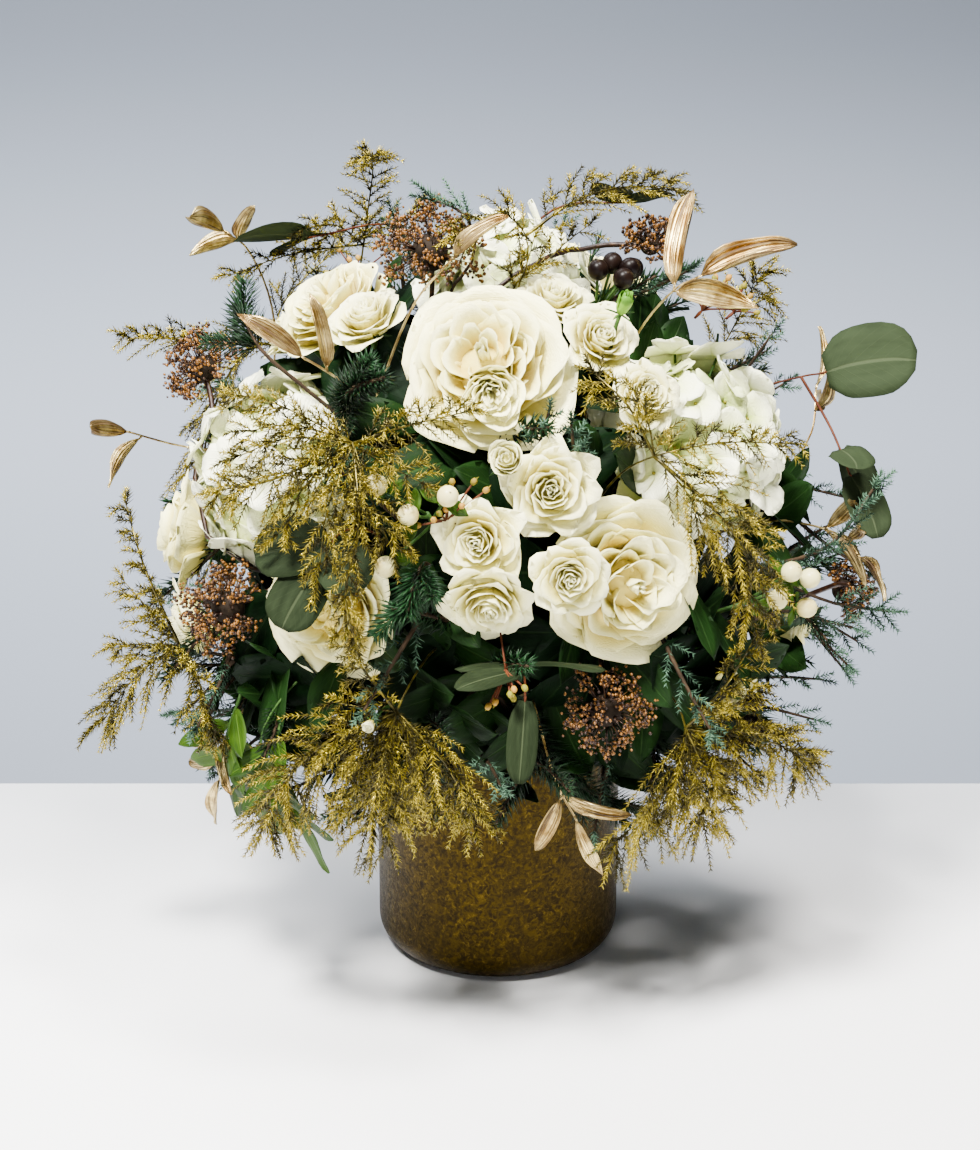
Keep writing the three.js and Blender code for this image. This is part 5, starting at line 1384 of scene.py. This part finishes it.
for name, fill in fills.items():
    batch = Batch(*fill["looks"])
    ways, reach = fillWays(*fill["ways"], fill["more"])
    ends = reach - rng.uniform(*fill["nearer"], len(ways))
    fill["make"](batch, ways, ends, rng, *fill["settings"])
    batch.piece(name, fill.get("slot"))
print("foliage made")


def lathe(batch, outline, sides):
    # a round solid from radii and heights, whose first and last lie on the axis
    turn = np.linspace(0, fullTurn, sides, endpoint=False)
    x, y = np.cos(turn), np.sin(turn)
    rings = [np.column_stack([x * radius, y * radius, np.full(sides, z)]) for radius, z in outline[1:-1]]
    points = np.concatenate([*rings, [(0, 0, outline[0][1]), (0, 0, outline[-1][1])]])
    around = np.arctan2(points[:, 1], points[:, 0]) / fullTurn + 0.5
    batch.add(points, ringFaces(len(rings), sides), np.column_stack([around, points[:, 2] / 150]), 0.5)


def arc(centre, radius, start, end, steps):
    turn = np.radians(np.linspace(start, end, steps))
    return [(centre[0] + radius * math.cos(a), centre[1] + radius * math.sin(a)) for a in turn]


batch = Batch("vase")
lathe(batch, [
    (0, 0.8), (40, 0.8), (46, 0.0), (52, 0.0), *arc((57, 18), 18, -88, 0, 14), (75, 40), (75, 80), (75, 120),
    (75, 146.6), *arc((72.9, 147.8), 2.1, 0, 180, 9)[1:], (70.8, 120), (70.8, 60), (70.8, 26),
    *arc((57, 22), 13.8, 0, -80, 6)[1:], (30, 8), (0, 8),
], 96)
batch.piece("vase_glazed", "vase", "vase")
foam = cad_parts["floral_foam"].data.materials
foam.clear()
foam.append(paints["foam"])
print("vase made")


def stageMesh(name, points, faces, paint):
    mesh = bpy.data.meshes.new(name)
    mesh.from_pydata(points, [], faces)
    mesh.materials.append(paint)
    made = bpy.data.objects.new(name, mesh)
    bpy.context.scene.collection.objects.link(made)
    return made


def shadedPaint(name, axis, low, high, first, second, roughness, shine):
    # one colour that turns into another along an axis, used as painted shade on the stage
    paint = Paint(name)
    along = paint.add("SeparateXYZ", None, {0: paint.spot()}, axis)
    colour = paint.mix(paint.between(along, low, high), first, second)
    return paint.finish(colour, roughness, specular=shine)


corners = ((-3.0, 0.0), (0.245, 0.0), (0.245, -0.03), (-3.0, -0.03))  # depth and height
# the table darkens from the front towards the back: painted shadow
table = stageMesh(
    "table_top", [(x, y, z) for y, z in corners for x in (-3, 3)],
    [(0, 1, 3, 2), (2, 3, 5, 4), (4, 5, 7, 6), (6, 7, 1, 0), (0, 2, 4, 6), (1, 7, 5, 3)],
    shadedPaint("pale table with painted shadow", 1, -0.12, 0.26, (0.80, 0.80, 0.81), (0.37, 0.38, 0.40), 0.75, 0.2),
)
# the wall darkens towards the top: painted shade
wall = stageMesh(
    "wall", [(-1.7, 3, -1.7), (1.7, 3, -1.7), (1.7, 3, 0.9), (-1.7, 3, 0.9)], [(0, 1, 2, 3)],
    shadedPaint("pale wall with painted shade", 2, -0.5, 0.55, (0.49, 0.55, 0.66), (0.115, 0.131, 0.16), 0.8, 0.1),
)


def areaLight(name, spot, aim, size, power, colour=(1, 1, 1)):
    light = bpy.data.lights.new(name, "AREA")
    light.shape, light.size, light.energy, light.color = "DISK", size, power, colour
    made = bpy.data.objects.new(name, light)
    made.location = spot
    way = unitOf(np.subtract(aim, spot))
    made.rotation_euler = (math.acos(-way[2]), 0, math.atan2(way[1], way[0]) - math.pi / 2)
    bpy.context.scene.collection.objects.link(made)
    return made


lights = [
    areaLight("key light", (-0.55, -1.15, 2.2), (0, 0, 0.25), 0.5, 360, (1.0, 0.98, 0.94)),
    areaLight("top light", (0.55, -0.5, 2.3), (0, 0, 0.25), 0.4, 115, (1.0, 0.97, 0.93)),
    areaLight("wall light", (-0.8, 0.9, 1.9), (-0.5, 3.0, -0.9), 1.5, 200, (0.94, 0.97, 1.0)),
    areaLight("front light", (-0.2, -2.2, 1.0), (0, 0, 0.25), 1.0, 8),
]
world = bpy.data.worlds.new("soft room")
world.use_nodes = True
background = world.node_tree.nodes["Background"].inputs
background[0].default_value = (0.85, 0.92, 1.0, 1)
background[1].default_value = 0.03
bpy.context.scene.world = world

lens = bpy.data.cameras.new("camera")
lens.lens, lens.sensor_width, lens.sensor_fit = 67.5, 36, "AUTO"
camera = bpy.data.objects.new("camera", lens)
camera.location = (-0.005, -1.25, 0.62)
camera.rotation_euler = (math.radians(90 - 17), 0, 0)
bpy.context.scene.collection.objects.link(camera)
bpy.context.scene.camera = camera
print("stage made; triangles:", sum(triangles.values()))
